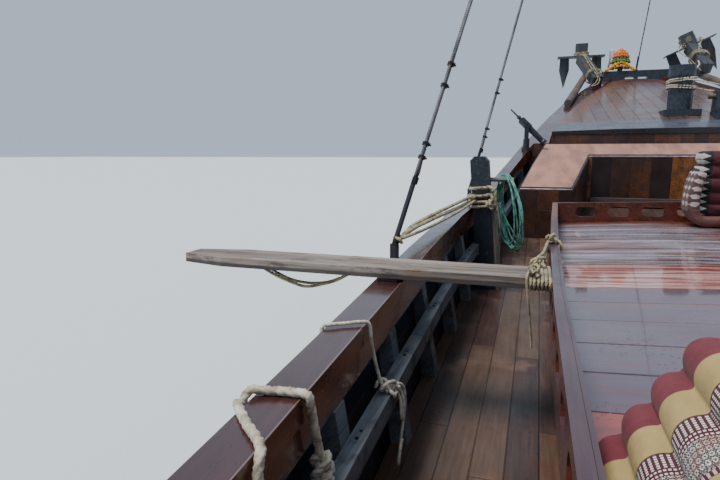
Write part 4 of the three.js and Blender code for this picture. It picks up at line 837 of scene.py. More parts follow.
# Foredeck. Planks laid fore and aft, with a straight covering board along the aft edge, all
# varnished and dulled. Traffic has worn it brown beside the post and at the bow.
foredeck_planks, surface, place, colour = timber(
    "foredeck_planks", "70534e", "452f2f", width=0.2, length=40.0, seam="170f12", gap=0.012, tones=0.7,
    gloss=(0.25, 0.5), coat=0.3, fade="6e4c40", faded=0.3,
)
parts = axes(place)
ahead = plus(parts["X"], times(mottle(place, 2.5, 5), 1.6))
colour = recolour(surface, spread(ahead, 11.6, 12.2, 0, 0.8), colour, "55302a")
rim = spread(use(from_rail, Place=place)["Inboard"], 0.5, 0.75, 0.75, 0)
colour = recolour(surface, rim, colour, "6b4230")
# The straight covering board is weathered grey, its bluish tint a painted sheen of sky reflection.
board = calc("LESS_THAN", parts["X"], 7.12)
covering_board_and_sky_sheen = use(wood_grain, Place=scaled(place, 8, 0.2, 1), Light="585b68", Dark="363945")
colour = recolour(surface, board, colour, covering_board_and_sky_sheen["Color"])
fore_face = spread(facing(place, "Z"), 0.3, 0.6, 1, 0)
recolour(surface, fore_face, colour, "1d1719")
dress(foredeck_planks, "foredeck")


# Forecastle bulkhead. Upright boards of mixed colour, nailed behind the deck's dark edge beam.
def upright(place, parts):
    return parts["Z"], parts["Y"]


bulkhead_boards = timber(
    "bulkhead_boards", "7a4a2c", "221719", width=0.165, length=12.0, across=upright, tones=0.95,
    gloss=(0.35, 0.6), coat=0.2, fade="3a2629", faded=0.5,
)[0]
dress(bulkhead_boards, "forecastle_bulkhead")


# Foredeck post and windlass. The post is a turned log painted dark, with a wider head and a
# square base; the anchor lines are made fast on it and run to the windlass and the anchors.
post_paint = painted("post_paint", "2a3542", "151b24", "5e6468", (0.35, 0.6))[0]
dress(post_paint, "foredeck_post", "windlass_frame")

# The mooring posts lean outboard. They have nearly the same paint, and their pale grey side faces
# inboard.
POST_LEAN = 0.0882  # metres outboard for each metre up
bitt_paint, surface, place, colour = painted("bitt_paint", "1f2a38", "10161f", "4e545a", (0.35, 0.6))
parts = axes(place)
leaning = minus(calc("ABSOLUTE", parts["Y"]), times(parts["Z"], POST_LEAN))
bare = spread(leaning, 2.2067, 2.2102, 0.9, 0)
recolour(surface, bare, colour, "77787c")
dress(bitt_paint, "bitt_post_port", "bitt_post_starboard")
dress(log_wood, "windlass_barrel")
post_lines = [
    turns_round((7.6, 0, 3.6), (0.02, 0.05, 1), 0.188, 0.188, 2, 0.03),
    turns_round((7.6, 0, 3.5), (-0.03, -0.12, 1), 0.188, 0.188, 2, 0.03),
    [
        (7.42, 0.02, 3.6), (7.38, -0.12, 3.585), (7.33, -0.3, 3.535), (7.28, -0.46, 3.48),
        (7.25, -0.54, 3.435),
    ],
    [(7.44, -0.1, 3.5), (7.4, -0.18, 3.46), (7.33, -0.36, 3.41), (7.3, -0.47, 3.4), (7.26, -0.6, 3.43)],
    turns_round((7.25, -0.72, 3.326), (0, 1, 0), 0.108, 0.108, 10, 0.031),
    [(7.74, -0.13, 3.6), (8.4, -0.32, 3.78), (9.4, -0.6, 4.02), (10.6, -0.92, 4.26), (11.72, -1.13, 4.52)],
]
laid_rope("foredeck_lines", post_lines, 0.0145, white_nylon, fineness=2.5)


# Bench round the well. Upright boards of unlike colour under a sloping seat; foam mats in pink
# cloth lie on it, piped dark and white along their edges.
def board_run(place, parts):
    return parts["Z"], plus(parts["Y"], times(parts["X"], 0.9))


bench_boards = timber(
    "bench_boards", "b0692c", "190c0e", width=0.24, length=9.0, across=board_run, tones=1.0,
    gloss=(0.35, 0.6), coat=0.2, relief=0.001, fade="2e181a", faded=0.45,
)[0]
dress(bench_boards, "bow_bench")
shape = bmesh.new()
block(shape, (5.952, -1.33, 1.8), (5.9995, 1.33, 1.915), 0.004)
toe_wood = timber(
    "toe_wood", "75645a", "3b302e", "YZX", width=0.4, length=3.0, gloss=(0.55, 0.8), fade="4e3a34",
    faded=0.4,
)[0]
finished("bench_toe_board", shape, toe_wood)


def cloth_weave(place, threads):
    """Height of a plain weave with that many threads to the metre."""
    parts = axes(place)
    waves = [calc("SINE", times(parts[axis], threads * math.tau)) for axis in "XYZ"]
    return plus(times(waves[0], waves[1]), times(waves[1], waves[2]))


mat_cloth, surface, place = new_finish("mat_cloth", Roughness=0.85, Sheen_Weight=0.25)
patches = mottle(scaled(place, 1, 3, 1), 2.2, 5)
colour = tint(spread(patches, 0.35, 0.7), "b07f6a", "8d6253")
look_like(surface, Base_Color=colour)
wrinkle = mottle(place, 9, 4)
height = plus(times(cloth_weave(place, 350), 0.0002), times(wrinkle, 0.006))
roughen(surface, height)


def plain_cloth(name, light, dark, roughness=0.85):
    finish, surface, place = new_finish(name, Roughness=roughness, Sheen_Weight=0.2)
    colour = tint(spread(mottle(place, 14, 5), 0.35, 0.7), light, dark)
    look_like(surface, Base_Color=colour)
    roughen(surface, cloth_weave(place, 420), 0.0002)
    return finish


shape = bmesh.new()
shape.from_mesh(nodes["bench_mats"].data)
bmesh.ops.remove_doubles(shape, verts=shape.verts, dist=0.0001)
bmesh.ops.dissolve_limit(shape, angle_limit=0.02, verts=shape.verts, edges=shape.edges)
seat = max(shape.faces, key=lambda face: face.normal.z * face.calc_area())
mat_outline = [loop.vert.co.copy() for loop in seat.loops]
rounded(shape, seat.edges, 0.016, 3)
mats = finished("bench_mats_padded", shape, mat_cloth, smooth=True)
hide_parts("bench_mats")


def tube(name, routes, radius, finish, body="boat", slot="wire", closed=False):
    """Round cord or wire along plain routes, as one piece."""
    curve = bpy.data.curves.new(name, "CURVE")
    curve.dimensions = "3D"
    curve.bevel_depth = radius
    curve.bevel_resolution = 2
    curve.use_fill_caps = True
    for route in routes:
        spline = curve.splines.new("POLY")
        spline.points.add(len(route) - 1)
        for point, at in zip(spline.points, route):
            point.co = (*at, 1)
        spline.use_cyclic_u = closed
    return swept(name, curve, finish, body)


dark_piping = plain_cloth("piping_dark", "1d1a24", "0f0d13", 0.6)
pale_piping = plain_cloth("piping_pale", "d9d2d8", "a79fa8", 0.6)
for name, drop, finish in (("mat_piping_top", 0.01, dark_piping), ("mat_piping_low", 0.027, pale_piping)):
    route = [point - Vector((0, 0, drop)) for point in mat_outline]
    tube(name, [route], 0.0085, finish, slot="mat", closed=True)


# Lounge deck. Broad boards across the boat, cambered, with open seams. On their shiny varnish a
# grey-lilac sky reflection and a pale glare are painted in; some boards are redder, one salmon with
# painted pale sheen, and drops of water stand on the near ones.
LOUNGE_PLAN = ((-4.4, 1.905), (-1.1, 1.94), (0.3, 1.95), (1.7, 1.93), (3.5, 1.871))
LOUNGE_AFT, LOUNGE_FORE = LOUNGE_PLAN[0][0], LOUNGE_PLAN[-1][0]
BOARD_PITCH = 0.285
BOARD_SHIFT = 0.424  # how far aft of the middle of the length a seam lies
SEAM = 0.005


def lounge_half(x):
    for (x0, y0), (x1, y1) in zip(LOUNGE_PLAN, LOUNGE_PLAN[1:]):
        if x <= x1 or x1 == LOUNGE_FORE:
            return y0 + (y1 - y0) * (x - x0) / (x1 - x0)


def lounge_edge(x):
    return 1.7 + 0.0185 * (x - LOUNGE_AFT)


def lounge_top(x, y):
    share = min(1.0, abs(y) / (lounge_half(x) - 0.05))
    crown = 1 - 0.6 * share if share < 0.6 else 1.6 * (1 - share)
    return lounge_edge(x) + 0.07 * crown


def across_boat(place, parts):
    """Boards across the boat, counted from one so far aft that every number is above zero."""
    return parts["Y"], plus(parts["X"], BOARD_SHIFT + 20 * BOARD_PITCH)


def mask_between(value, low, high, soft=0.0008):
    rising = spread(value, low - soft, low + soft)
    falling = spread(value, high - soft, high + soft, 1, 0)
    return times(rising, falling)


lounge_boards, surface, place, colour = timber(
    "lounge_boards", "96502c", "4c2315", width=BOARD_PITCH, length=30.0, gap=0.001, across=across_boat,
    tones=0.6, gloss=(0.15, 0.4), coat=1.0, polish=0.05, patch=1.6, relief=0.0002,
)
parts = axes(place)
# Painted sky reflection: the aft boards are tinted grey lilac as if mirroring the sky, less so further
# forward.
sky_reflection_share = minus(parts["X"], times(mottle(scaled(place, 2, 0.7, 1), 2, 4), 1.4))
sky_reflection_share = spread(sky_reflection_share, -0.2, 0.9, 0.85, 0.0)
painted_sky_lilac = tint(mottle(scaled(place, 9, 0.6, 1), 2, 5), "5d4f66", "3a2f3f")
colour = recolour(surface, sky_reflection_share, colour, painted_sky_lilac)
red_board = mask_between(calc("ABSOLUTE", plus(parts["X"], 0.567)), -1, 0.139)
colour = recolour(surface, times(red_board, 0.85), colour, "9a3626")
streak = spread(mottle(scaled(place, 9, 0.8, 1), 2.2, 5, 0.6), 0.5, 0.72, 0, 0.6)
colour = recolour(surface, streak, colour, "6a352a")
# Painted glare: pale blue-white streaks stand in for the sky mirrored on the port boards, from 1.6 to 3.3 m
# forward.
ragged_y = plus(parts["Y"], times(mottle(scaled(place, 4, 1, 1), 3, 4), 0.5))
to_port = spread(ragged_y, 0.75, 1.15)
painted_sky_glare = spread(mottle(scaled(place, 16, 0.6, 1), 2.4, 5, 0.6), 0.36, 0.6, 0, 0.75)
painted_sky_glare = times(painted_sky_glare, times(to_port, mask_between(parts["X"], 1.6, 3.3, 0.15)))
colour = recolour(surface, painted_sky_glare, colour, "c3c9dc")
# A salmon board: its redder colour is its own, the pale pink in its flecks a painted sheen.
salmon = times(mask_between(parts["X"], 1.0, 1.56, 0.01), times(to_port, 0.9))
painted_sheen_flecks = spread(mottle(scaled(place, 14, 0.8, 1), 2.4, 4), 0.4, 0.6)
recolour(surface, salmon, colour, tint(painted_sheen_flecks, "d8a9a0", "8e3020"))
drops = add(place, "TexVoronoi", Vector=place, Scale=52.0)
present = spread(mottle(place, 7, 3), 0.5, 0.6)
bead = spread(drops.outputs["Distance"], 0.12, 0.32, 0.0026, 0)
bump = surface.inputs["Normal"].links[0].from_node
relief = bump.inputs["Height"].links[0].from_socket
join(plus(relief, times(bead, present)), bump.inputs["Height"])

shape = bmesh.new()
wander = random.Random(11)
first = math.floor((LOUNGE_AFT + BOARD_SHIFT) / BOARD_PITCH)
for i in range(first, 16):
    aft = max(LOUNGE_AFT, -BOARD_SHIFT + BOARD_PITCH * i) + SEAM / 2
    fore = min(LOUNGE_FORE, -BOARD_SHIFT + BOARD_PITCH * (i + 1)) - SEAM / 2
    if fore - aft < 0.03:
        continue
    corners = block(shape, (aft, -1, -0.048), (fore, 1, 0), 0.004)
    lean = wander.uniform(-0.007, 0.007)
    for corner in corners:
        corner.co.z += lean * (corner.co.x - (aft + fore) / 2)
    faces = {face for corner in corners for face in corner.link_faces}
    edges = {edge for face in faces for edge in face.edges}
    long_edges = {edge for edge in edges if abs(edge.verts[0].co.y - edge.verts[1].co.y) > 1}
    bmesh.ops.subdivide_edges(shape, edges=list(long_edges), cuts=18, use_grid_fill=True)
for vert in shape.verts:
    x = min(max(vert.co.x, LOUNGE_AFT), LOUNGE_FORE)
    y = vert.co.y * (lounge_half(x) - 0.052)
    vert.co = (x, y, lounge_top(x, y) + vert.co.z)
lounge = finished("lounge_boards_laid", shape, lounge_boards)
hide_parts("lounge_deck")


def round_walls(place, parts):
    return plus(parts["X"], parts["Y"]), parts["Z"]


trunk_boards = timber(
    "trunk_boards", "6f4030", "2f1b18", width=0.16, length=3.2, across=round_walls, gloss=(0.35, 0.6),
    coat=0.2,
)[0]
dress(trunk_boards, "lounge_trunk")

# The pierced rail round it has the same varnish. Its top shows the line where the inner facing
# meets the board.
fiddle_varnish, surface, place, colour = varnished("lounge_rail_varnish", gloss=(0.2, 0.4), coat=0.4)
# Painted sky reflection: the rail's top faces are tinted a dark purple lilac, where the varnish mirrors the
# sky.
up = facing(place, "Z")
pale = tint(mottle(scaled(place, 2, 30, 2), 2.5, 5), "5a3f48", "33242c")
recolour(surface, spread(up, 0.35, 0.8, 0, 0.85), colour, pale)
dress(fiddle_varnish, "lounge_rail")
tarred = painted("tarred_seam", "17131a", "0c0a0e", "2c262c")[0]
shape = bmesh.new()
for s in (-1, 1):
    for (x0, y0), (x1, y1) in zip(LOUNGE_PLAN, LOUNGE_PLAN[1:]):
        ends = [Vector((x, s * (y - 0.036), lounge_edge(x) + 0.1885)) for x, y in ((x0, y0), (x1, y1))]
        rod(shape, *ends, 0.003, sides=6)
finished("lounge_rail_line", shape, tarred)


# Gangplank. A worn plank from the rail of the lounge out over the port cap, lashed down at its
# inboard end. Two bights of old line hang under it outboard.
plank_wood, surface, place, colour = timber(
    "plank_wood", "b3a79c", "4a403c", "YXZ", width=0.9, length=20.0, gloss=(0.6, 0.85), fade="8d7462",
    faded=0.35, relief=0.003,
)
flaked = spread(mottle(scaled(place, 3, 1, 3), 5, 5, 0.7), 0.52, 0.62, 0, 0.7)
colour = recolour(surface, flaked, colour, "54403a")
# Painted shade: the lower part of the plank's side face is darkened as if in shadow.
underside_shade = plus(axes(place)["Z"], times(mottle(place, 6, 3), 0.012))
recolour(surface, spread(underside_shade, 1.936, 1.944, 0.85, 0), colour, "3a3232")
dress(plank_wood, "gangplank")
plank_ties = [
    turns_round((0.56, 1.99, 1.938), (0, 1, 0), 0.143, 0.035, 6, 0.0165, lead=(1, 0, 0)),
    turns_round((1.262, 1.9125, 1.972), (1, 0, 0), 0.038, 0.036, 3, 0.022, lead=(0, 1, 0)),
    [(0.68, 2.02, 1.985), (0.8, 2.0, 1.992), (0.98, 1.975, 1.985), (1.15, 1.958, 2.0), (1.25, 1.945, 2.008)],
    [(0.7, 1.99, 1.975), (0.82, 1.975, 1.96), (1.0, 1.965, 1.962), (1.16, 1.955, 1.985), (1.26, 1.94, 2.0)],
    knot_route((0.6, 2.0, 1.992), 0.075, (1, 0, 0)), knot_route((0.45, 2.02, 1.99), 0.06, (0, 1, 0)),
    knot_route((1.24, 1.93, 2.02), 0.06, (1, 0.3, 0)),
]
laid_rope("gangplank_lashing", plank_ties, 0.0085, tan_line, fineness=1.8)
END_ROUTE = (
    (0.44, 2.04, 1.99), (0.415, 2.048, 1.975), (0.403, 2.048, 1.94), (0.404, 2.04, 1.88), (0.406, 2.03, 1.8),
    (0.408, 2.022, 1.72), (0.41, 2.016, 1.65),
)
lashing_end = laid_rope("lashing_end", [END_ROUTE], 0.006, tan_line)
free_cord(lashing_end, END_ROUTE, 0.012, "bare", "hanging")
for name, dx, low in (("plank_bight_aft", 0.545, 1.812), ("plank_bight_fore", 0.585, 1.822)):
    sag = (
        (3.42, 1.903), (3.39, 1.889), (3.33, 1.86), (3.25, 1.832), (3.157, low), (3.06, 1.832), (2.98, 1.86),
        (2.93, 1.889), (2.9, 1.903),
    )
    bight = [(dx, y, z) for y, z in sag]
    free_cord(laid_rope(name, [bight], 0.009, tan_line), bight, 0.018, "object", "hanging")
staples = bmesh.new()
for y in (3.43, 2.89):
    block(staples, (0.525, y - 0.012, 1.894), (0.605, y + 0.012, 1.9135), 0.004)
finished("plank_staples", staples, iron)


# Mooring post and braces. Old line is wound round the port post above the rail, and grey battens
# brace the post to the bulwark.
post_turns = []
for z, tip in ((2.208, 0.07), (2.148, 0.0), (2.1, -0.03), (2.056, 0.02)):
    foot = (2.8, 2.395 + (z - 1.29) * POST_LEAN, z)
    post_turns.append(turns_round(foot, (tip, 0.05, 1), 0.113, 0.093, 1.3, 0.01))
post_turns.append(knot_route((2.695, 2.385, 2.075), 0.085, (0, 0.8, 0.5)))
post_turns.append(knot_route((2.69, 2.545, 2.12), 0.08, (0.6, 0, 1)))
post_turns.append(
    [
        (2.7, 2.42, 2.225), (2.675, 2.365, 2.21), (2.672, 2.35, 2.16), (2.68, 2.35, 2.105),
        (2.682, 2.375, 2.065), (2.69, 2.42, 2.055),
    ]
)
post_turns.append(
    [(2.7, 2.44, 2.15), (2.672, 2.385, 2.16), (2.665, 2.375, 2.12), (2.675, 2.39, 2.085), (2.69, 2.44, 2.09)]
)
for z_post, z_foot, y_foot in ((2.15, 2.062, 2.745), (2.105, 2.048, 2.725)):
    post_turns.append(
        [(2.7, 2.53, z_post), (2.6, 2.56, z_post - 0.01), (1.5, y_foot, z_foot), (1.06, 2.752, 2.035)]
    )
laid_rope("mooring_turns", post_turns, 0.015, tan_line, fineness=1.6)
shape = bmesh.new()
for s in (-1, 1):
    rod(shape, (2.735, s * 2.302, 1.32), (2.735, s * 2.362, 2.02), 0.028, sides=4)
    for low, high in (((2.93, 1.46), (3.18, 1.95)), ((3.18, 1.48), (2.93, 1.93))):
        rod(shape, (low[0], s * 2.33, low[1]), (high[0], s * 2.36, high[1]), 0.026, sides=4)
    block(shape, (3.15, s * 2.32, 1.32), (3.2, s * 2.37, 2.05), 0.004)
brace_wood = timber("brace_wood", "a29c92", "5e5954", way="ZYX", width=0.5, tones=0.2, gloss=(0.6, 0.8))[0]
finished("bitt_braces", shape, brace_wood)


# Swivel gun. A cast iron barrel lies on a forged fork that turns in a post on the cap rail; all
# of it is pitted and rusted in patches.
gun_iron = worn_metal(
    "gun_iron", 0.75, (38, 0.65, 0.52, 0.7), ((12, 4), "4a4e57", "2b2e35"), "5b3a2b", (0.4, 0.8),
    (180, 4, 0.0008),
)
dress(gun_iron, "gun_post", "gun_fork", "gun_barrel")


# Main mast and boom. Varnished spars with iron bands. The boom hangs on a wire lift from a crane
# on the mast, above its own hinge, and the sail is furled on it under ties.
spar_wood = timber(
    "spar_wood", "9a6a3e", "5f3b22", "ZXY", width=8.0, length=40.0, gloss=(0.2, 0.4), coat=0.5,
    fade="6d4a33", faded=0.3,
)[0]
dress(spar_wood, "main_mast", "mizzen_mast")
boom_wood = timber(
    "boom_wood", "9a6a3e", "5f3b22", "XZY", width=8.0, length=40.0, gloss=(0.2, 0.4), coat=0.5
)[0]
dress(boom_wood, "main_boom")


MAST_X, BOOM_Z = 4.2, 4.05


def spar_radius(along, foot, head, length):
    """Radius of a spar that far along from its foot; it tapers evenly to its head."""
    return foot + (head - foot) * along / length


shape = bmesh.new()
for z in (3.2, 3.95, 4.2, 6.4, 9.0, 11.6, 12.9, 13.6):
    r = spar_radius(z - 1.4, 0.175, 0.085, 12.8) + 0.007
    rod(shape, (MAST_X, 0, z), (MAST_X, 0, z + 0.07), r, sides=24)
block(shape, (3.9, -0.018, 12.86), (4.16, 0.018, 12.9), 0.004)
block(shape, (3.9, -0.018, 12.7), (3.94, 0.018, 12.9), 0.004)
for s in (-1, 1):
    block(shape, (4.08, s * 0.14, 2.55), (4.32, s * 0.2, 2.61), 0.01)
    rod(shape, (4.14, s * 0.19, 2.58), (4.11, s * 0.34, 2.58), 0.016)
finished("mast_bands", shape, iron)
shape = bmesh.new()
for x in (3.72, 0.9, -1.6, -2.84):
    r = spar_radius(3.92 - x, 0.075, 0.06, 6.82) + 0.006
    rod(shape, (x, 0, BOOM_Z), (x - 0.06, 0, BOOM_Z), r, sides=24)
finished("boom_bands", shape, iron, "main_boom")
lift = [(3.92, 0, 12.72), (-2.86, 0, 4.13)]
wire_finish, surface, place = new_finish("wire_rope", Metallic=0.6, Roughness=0.5)
parts = axes(place)
lay = calc("SINE", times(plus(parts["Z"], parts["Y"]), 420))
tarry = spread(mottle(place, 5, 5, 0.6), 0.4, 0.7)
colour = tint(tarry, "8c8d92", "3b3a3e")
look_like(surface, Base_Color=colour)
roughen(surface, lay, 0.0012)
tube("boom_lift", [lift], 0.009, wire_finish, "main_boom")

canvas, surface, place = new_finish("sail_canvas", Roughness=0.9, Sheen_Weight=0.2)
folds = mottle(scaled(place, 1.2, 10, 14), 2.0, 5)
colour = tint(spread(folds, 0.3, 0.75), "8e3d30", "571f1b")
panels = spread(calc("PINGPONG", axes(place)["X"], 0.31), 0.004, 0.012, 0.5, 0)
look_like(surface, Base_Color=tint(panels, colour, "3f1715"))
height = plus(times(folds, 0.03), times(cloth_weave(place, 240), 0.0003))
roughen(surface, height)

SAIL_AFT, SAIL_LENGTH = -2.6, 6.1
SAIL_TIES = (-2.2, -1.45, -0.7, 0.05, 0.8, 1.55, 2.3, 3.05)


def sail_reach(x):
    """Half width of the furled bundle there, drawn in under each tie."""
    along = (x - SAIL_AFT) / SAIL_LENGTH
    full = 0.17 * (0.55 + 0.45 * math.sin(math.pi * min(1.0, 0.15 + along)))
    near = min(abs(x - tie) for tie in SAIL_TIES)
    return full * (1 - 0.2 * math.exp(-(near / 0.07) ** 2))


def cut_across(shape, axis, least, cuts):
    """Cuts every edge longer than `least` along an axis into even lengths."""
    runs = [edge for edge in shape.edges if abs(edge.verts[0].co[axis] - edge.verts[1].co[axis]) > least]
    bmesh.ops.subdivide_edges(shape, edges=runs, cuts=cuts, use_grid_fill=True)


shape = bmesh.new()
bundle_turn = Matrix.Translation((0.45, 0, 0)) @ Matrix.Rotation(math.pi / 2, 4, "Y")
bmesh.ops.create_cone(
    shape, cap_ends=True, segments=36, radius1=1, radius2=1, depth=6.06, matrix=bundle_turn
)
cut_across(shape, 0, 1, 150)
for vert in shape.verts:
    x = vert.co.x
    angle = math.atan2(vert.co.z, vert.co.y)
    reach = sail_reach(x)
    fold = 0.09 * math.sin(7 * angle + 1.3 * math.sin(1.9 * x)) + 0.05 * math.sin(13 * angle - 2.4 * x)
    slack = 0.06 * math.sin(5.1 * x + 3 * angle)
    wide = reach * (0.93 + fold + slack) * math.cos(angle) * (1 - 0.18 * max(0, math.sin(angle)))
    tall = reach * (0.95 + 0.6 * fold) * math.sin(angle)
    vert.co = (x, wide, 4.08 + reach * 1.02 + tall)
    if abs(wide) < 0.06 and vert.co.z < 4.12:
        vert.co.z = 4.125
sail = finished("furled_sail_folds", shape, canvas, "main_boom", smooth=True)
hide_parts("furled_sail")
ties = []
for x in SAIL_TIES:
    reach = sail_reach(x)
    middle = (x, 0, BOOM_Z + reach * 1.03)
    wide, tall = reach * 1.03 + 0.012, reach * 1.1 + 0.05
    ties.append(turns_round(middle, (1, 0, 0.02), wide, tall, 2, 0.022, lead=(0, 1, 0), steps=24))
    ties.append(knot_route((x, 0.02, 4.1 + 2.1 * reach), 0.06, (0, 1, 0)))
laid_rope("sail_ties", ties, 0.009, tan_line, "main_boom", fineness=3)


# Shrouds and forestay. Wire set up with screws on outside straps. Each wire's end turns back
# round a thimble and is held along the standing part by clamps.
stay_wire, surface, place = new_finish("stay_wire", Metallic=0.5, Roughness=0.5)
below = use(from_rail, Place=place)["Below"]
lay = calc("SINE", times(axes(place)["Z"], 520))
colour = tint(spread(mottle(place, 5, 5, 0.6), 0.4, 0.7), "7f7d7f", "4b494d")
colour = tint(spread(below, -0.48, -0.44), colour, "35353a")
look_like(surface, Base_Color=colour)
roughen(surface, lay, 0.0003)
dress(
    stay_wire, "shroud_port_aft", "shroud_port_fore", "shroud_starboard_aft", "shroud_starboard_fore",
    "forestay",
)

iron_hardware = bmesh.new()
spare_wires = []
for s in (-1, 1):
    for x in (0.9, 3.5):
        z, y = rail_at(x)
        foot = Vector((x, s * (y + 0.03), z + 0.05))
        way = (Vector((MAST_X, s * 0.06, 13.1)) - foot).normalized()
        beside = way.cross(Vector((0, s, 0))).normalized()
        for low, high, r in ((0.02, 0.05, 0.021), (0.385, 0.425, 0.02)):
            rod(iron_hardware, foot + way * low, foot + way * high, r, sides=6)
        for up in (0.54, 0.62, 0.97, 1.1):
            clamp = foot + way * up + beside * 0.012
            rod(iron_hardware, clamp - way * 0.01, clamp + way * 0.01, 0.021, sides=10)
            for t in (-1, 1):
                stud = clamp + beside * 0.012 * t
                rod(iron_hardware, stud, stud + way.cross(beside) * 0.028, 0.005, sides=6)
        eye_turn = [foot + way * 0.56 + beside * 0.024]
        for i in range(9):
            angle = math.pi * i / 8
            eye_turn.append(
                foot + way * (0.47 - 0.04 * math.sin(angle)) + beside * (0.028 * math.cos(angle))
            )
        eye_turn.append(foot + way * 0.56)
        spare_wires.append(eye_turn)
        spare_wires.append([foot + way * up + beside * 0.024 for up in (0.52, 0.85, 1.16)])
        for drop in (0.0, 0.14, 0.28, 0.4):
            bolt = Vector((x, s * (y + 0.018), z - 0.02 - drop))
            rod(iron_hardware, bolt, bolt + Vector((0, s * 0.012, 0)), 0.014, sides=6)
tube("shroud_ends", spare_wires, 0.008, stay_wire)
rod(iron_hardware, (12.01, 0, 4.39), (11.8, 0, 4.64), 0.02, sides=12)
finished("shroud_hardware", iron_hardware, iron)


# Aft cabin. Tongued boards on studs, with framed windows of plain glass and a hinged door with
# sunk panels.
cabin_boards = timber(
    "cabin_boards", "8a5a37", "4a2c1d", width=0.13, length=4.0, gap=0.005, across=round_walls,
    gloss=(0.25, 0.5), coat=0.35, fade="6a4a3a", faded=0.25,
)[0]
dress(cabin_boards, "cabin_front", "cabin_back", "cabin_side_port", "cabin_side_starboard")
trim_wood = timber("trim_wood", "6b3b22", "3a2015", width=3.0, length=20.0, gloss=(0.2, 0.4), coat=0.5)[0]
glass, surface, place = new_finish("window_glass", Transmission_Weight=1.0, Roughness=0.04, IOR=1.45)
look_like(surface, Base_Color=tint(mottle(place, 3, 3), "dce8e8", "c3d4d6"))

frames = bmesh.new()
panes = bmesh.new()


def window(low, high, wall, outward):
    """Trim round an opening from low to high, its mullion, and the pane in the wall's middle."""
    axis = 0 if abs(high[0] - low[0]) > 0.01 else 1
    u0, u1, v0, v1 = low[axis], high[axis], low[2], high[2]

    def piece(shape, ua, ub, va, vb, d0, d1, soft):
        a, b = sorted((wall + outward * d0, wall + outward * d1))
        corners = [(ua, a, va), (ub, b, vb)] if axis == 0 else [(a, ua, va), (b, ub, vb)]
        block(shape, *corners, soft)

    trim, lap = 0.06, 0.006
    for ua, ub, va, vb in (
        (u0 - trim, u0 + lap, v0 - trim, v1 + trim), (u1 - lap, u1 + trim, v0 - trim, v1 + trim),
        (u0, u1, v0 - trim, v0 + lap), (u0, u1, v1 - lap, v1 + trim),
    ):
        piece(frames, ua, ub, va, vb, 0.0005, 0.02, 0.004)
        piece(frames, ua, ub, va, vb, -0.07, -0.0505, 0.004)
    piece(frames, u0 - 0.09, u1 + 0.09, v0 - 0.085, v0 - 0.055, 0.0005, 0.045, 0.006)
    middle = (u0 + u1) / 2
    piece(frames, middle - 0.014, middle + 0.014, v0, v1, -0.036, -0.014, 0.003)
    piece(panes, u0 + 0.001, u1 - 0.001, v0 + 0.001, v1 - 0.001, -0.028, -0.022, 0)


CABIN_FRONT, CABIN_BACK, CABIN_SIDE = -6.2, -10.4, 1.7
for s in (-1, 1):
    for x, low in ((-9.7, 2.4), (-8.6, 2.25), (-7.5, 2.25)):
        window((x, s * CABIN_SIDE, low), (x + 0.75, s * CABIN_SIDE, 2.85), s * CABIN_SIDE, s)
for y in (-1.35, 0.65):
    window((CABIN_FRONT, y, 2.25), (CABIN_FRONT, y + 0.7, 2.85), CABIN_FRONT, 1)
for y in (-1.2, 0.5):
    window((CABIN_BACK, y, 2.45), (CABIN_BACK, y + 0.7, 2.95), CABIN_BACK, -1)
finished("window_frames", frames, trim_wood)
finished("window_panes", panes, glass)

door_boards = timber(
    "door_boards", "7a4526", "402313", "ZYX", width=0.118, length=9.0, gap=0.004, gloss=(0.2, 0.4), coat=0.5
)[0]
dress(door_boards, "cabin_door")
shape = bmesh.new()
for x0, x1 in ((-6.2, -6.184), (-6.256, -6.24)):
    for low, high in ((1.45, 2.05), (2.2, 2.95)):
        for z in (low - 0.05, high):
            block(shape, (x0, -0.27, z), (x1, 0.27, z + 0.05), 0.005)
        for y in (-0.27, 0.22):
            block(shape, (x0, y, low), (x1, y + 0.05, high), 0.005)
finished("door_mouldings", shape, trim_wood, "cabin_door")


# Quarterdeck. Teak planks over the cabin, edged with a moulding on small brackets, with a railing
# of square posts and bars.
quarter_planks = timber(
    "quarterdeck_planks", "8b6b55", "54403a", width=0.13, length=3.0, seam="1c1516", gloss=(0.35, 0.6),
    coat=0.15, fade="8f8078", faded=0.3,
)[0]
dress(quarter_planks, "quarterdeck")
dress(trim_wood, "quarterdeck_railing", "quarterdeck_ladder", "helm_pedestal")
shape = bmesh.new()
for s in (-1, 1):
    block(shape, (-12.25, s * 1.95, 3.375), (-5.85, s * 1.975, 3.43), 0.01)
    block(shape, (-12.25, s * 1.95, 3.303), (-5.85, s * 1.962, 3.335), 0.005)
block(shape, (-5.85, -1.975, 3.375), (-5.832, 1.975, 3.43), 0.008)
block(shape, (-12.268, -1.975, 3.375), (-12.25, 1.975, 3.43), 0.008)
for s in (-1, 1):
    for i in range(16):
        x = -12.0 + 0.4 * i
        block(shape, (x, s * 1.702, 3.2), (x + 0.05, s * 1.93, 3.302), 0.008)
finished("quarterdeck_moulding", shape, trim_wood)


# Wheel, propeller, rudder and mizzen rigging. The propeller and the wheel's hub caps are bronze,
# the wheel is varnished and the rudder painted dark. Wire stays hold the mizzen mast.
bronze = worn_metal("bronze", 1.0, (16, 0.6, 0.45, 0.7), "b08548", "5c5a3c", (0.28, 0.6), (90, 3, 0.0004))
dress(bronze, "propeller")
wheel_wood = timber(
    "wheel_wood", "8a4e2a", "4b2816", "YZX", width=3.0, length=20.0, gloss=(0.15, 0.35), coat=0.6
)[0]
dress(wheel_wood, "helm_wheel")
rudder_paint = painted("rudder_paint", "23242a", "131418", "4a4038")[0]
dress(rudder_paint, "rudder")
WHEEL_Z = 4.13
shape = bmesh.new()
for x0, x1 in ((-7.19, -7.155), (-7.085, -7.05)):
    rod(shape, (x0, 0, WHEEL_Z), (x1, 0, WHEEL_Z), 0.085, 0.075, 24)
    rod(shape, (x0 - 0.01, 0, WHEEL_Z), (x1 + 0.01, 0, WHEEL_Z), 0.03, sides=16)
finished("wheel_hub_caps", shape, bronze, "helm_wheel")

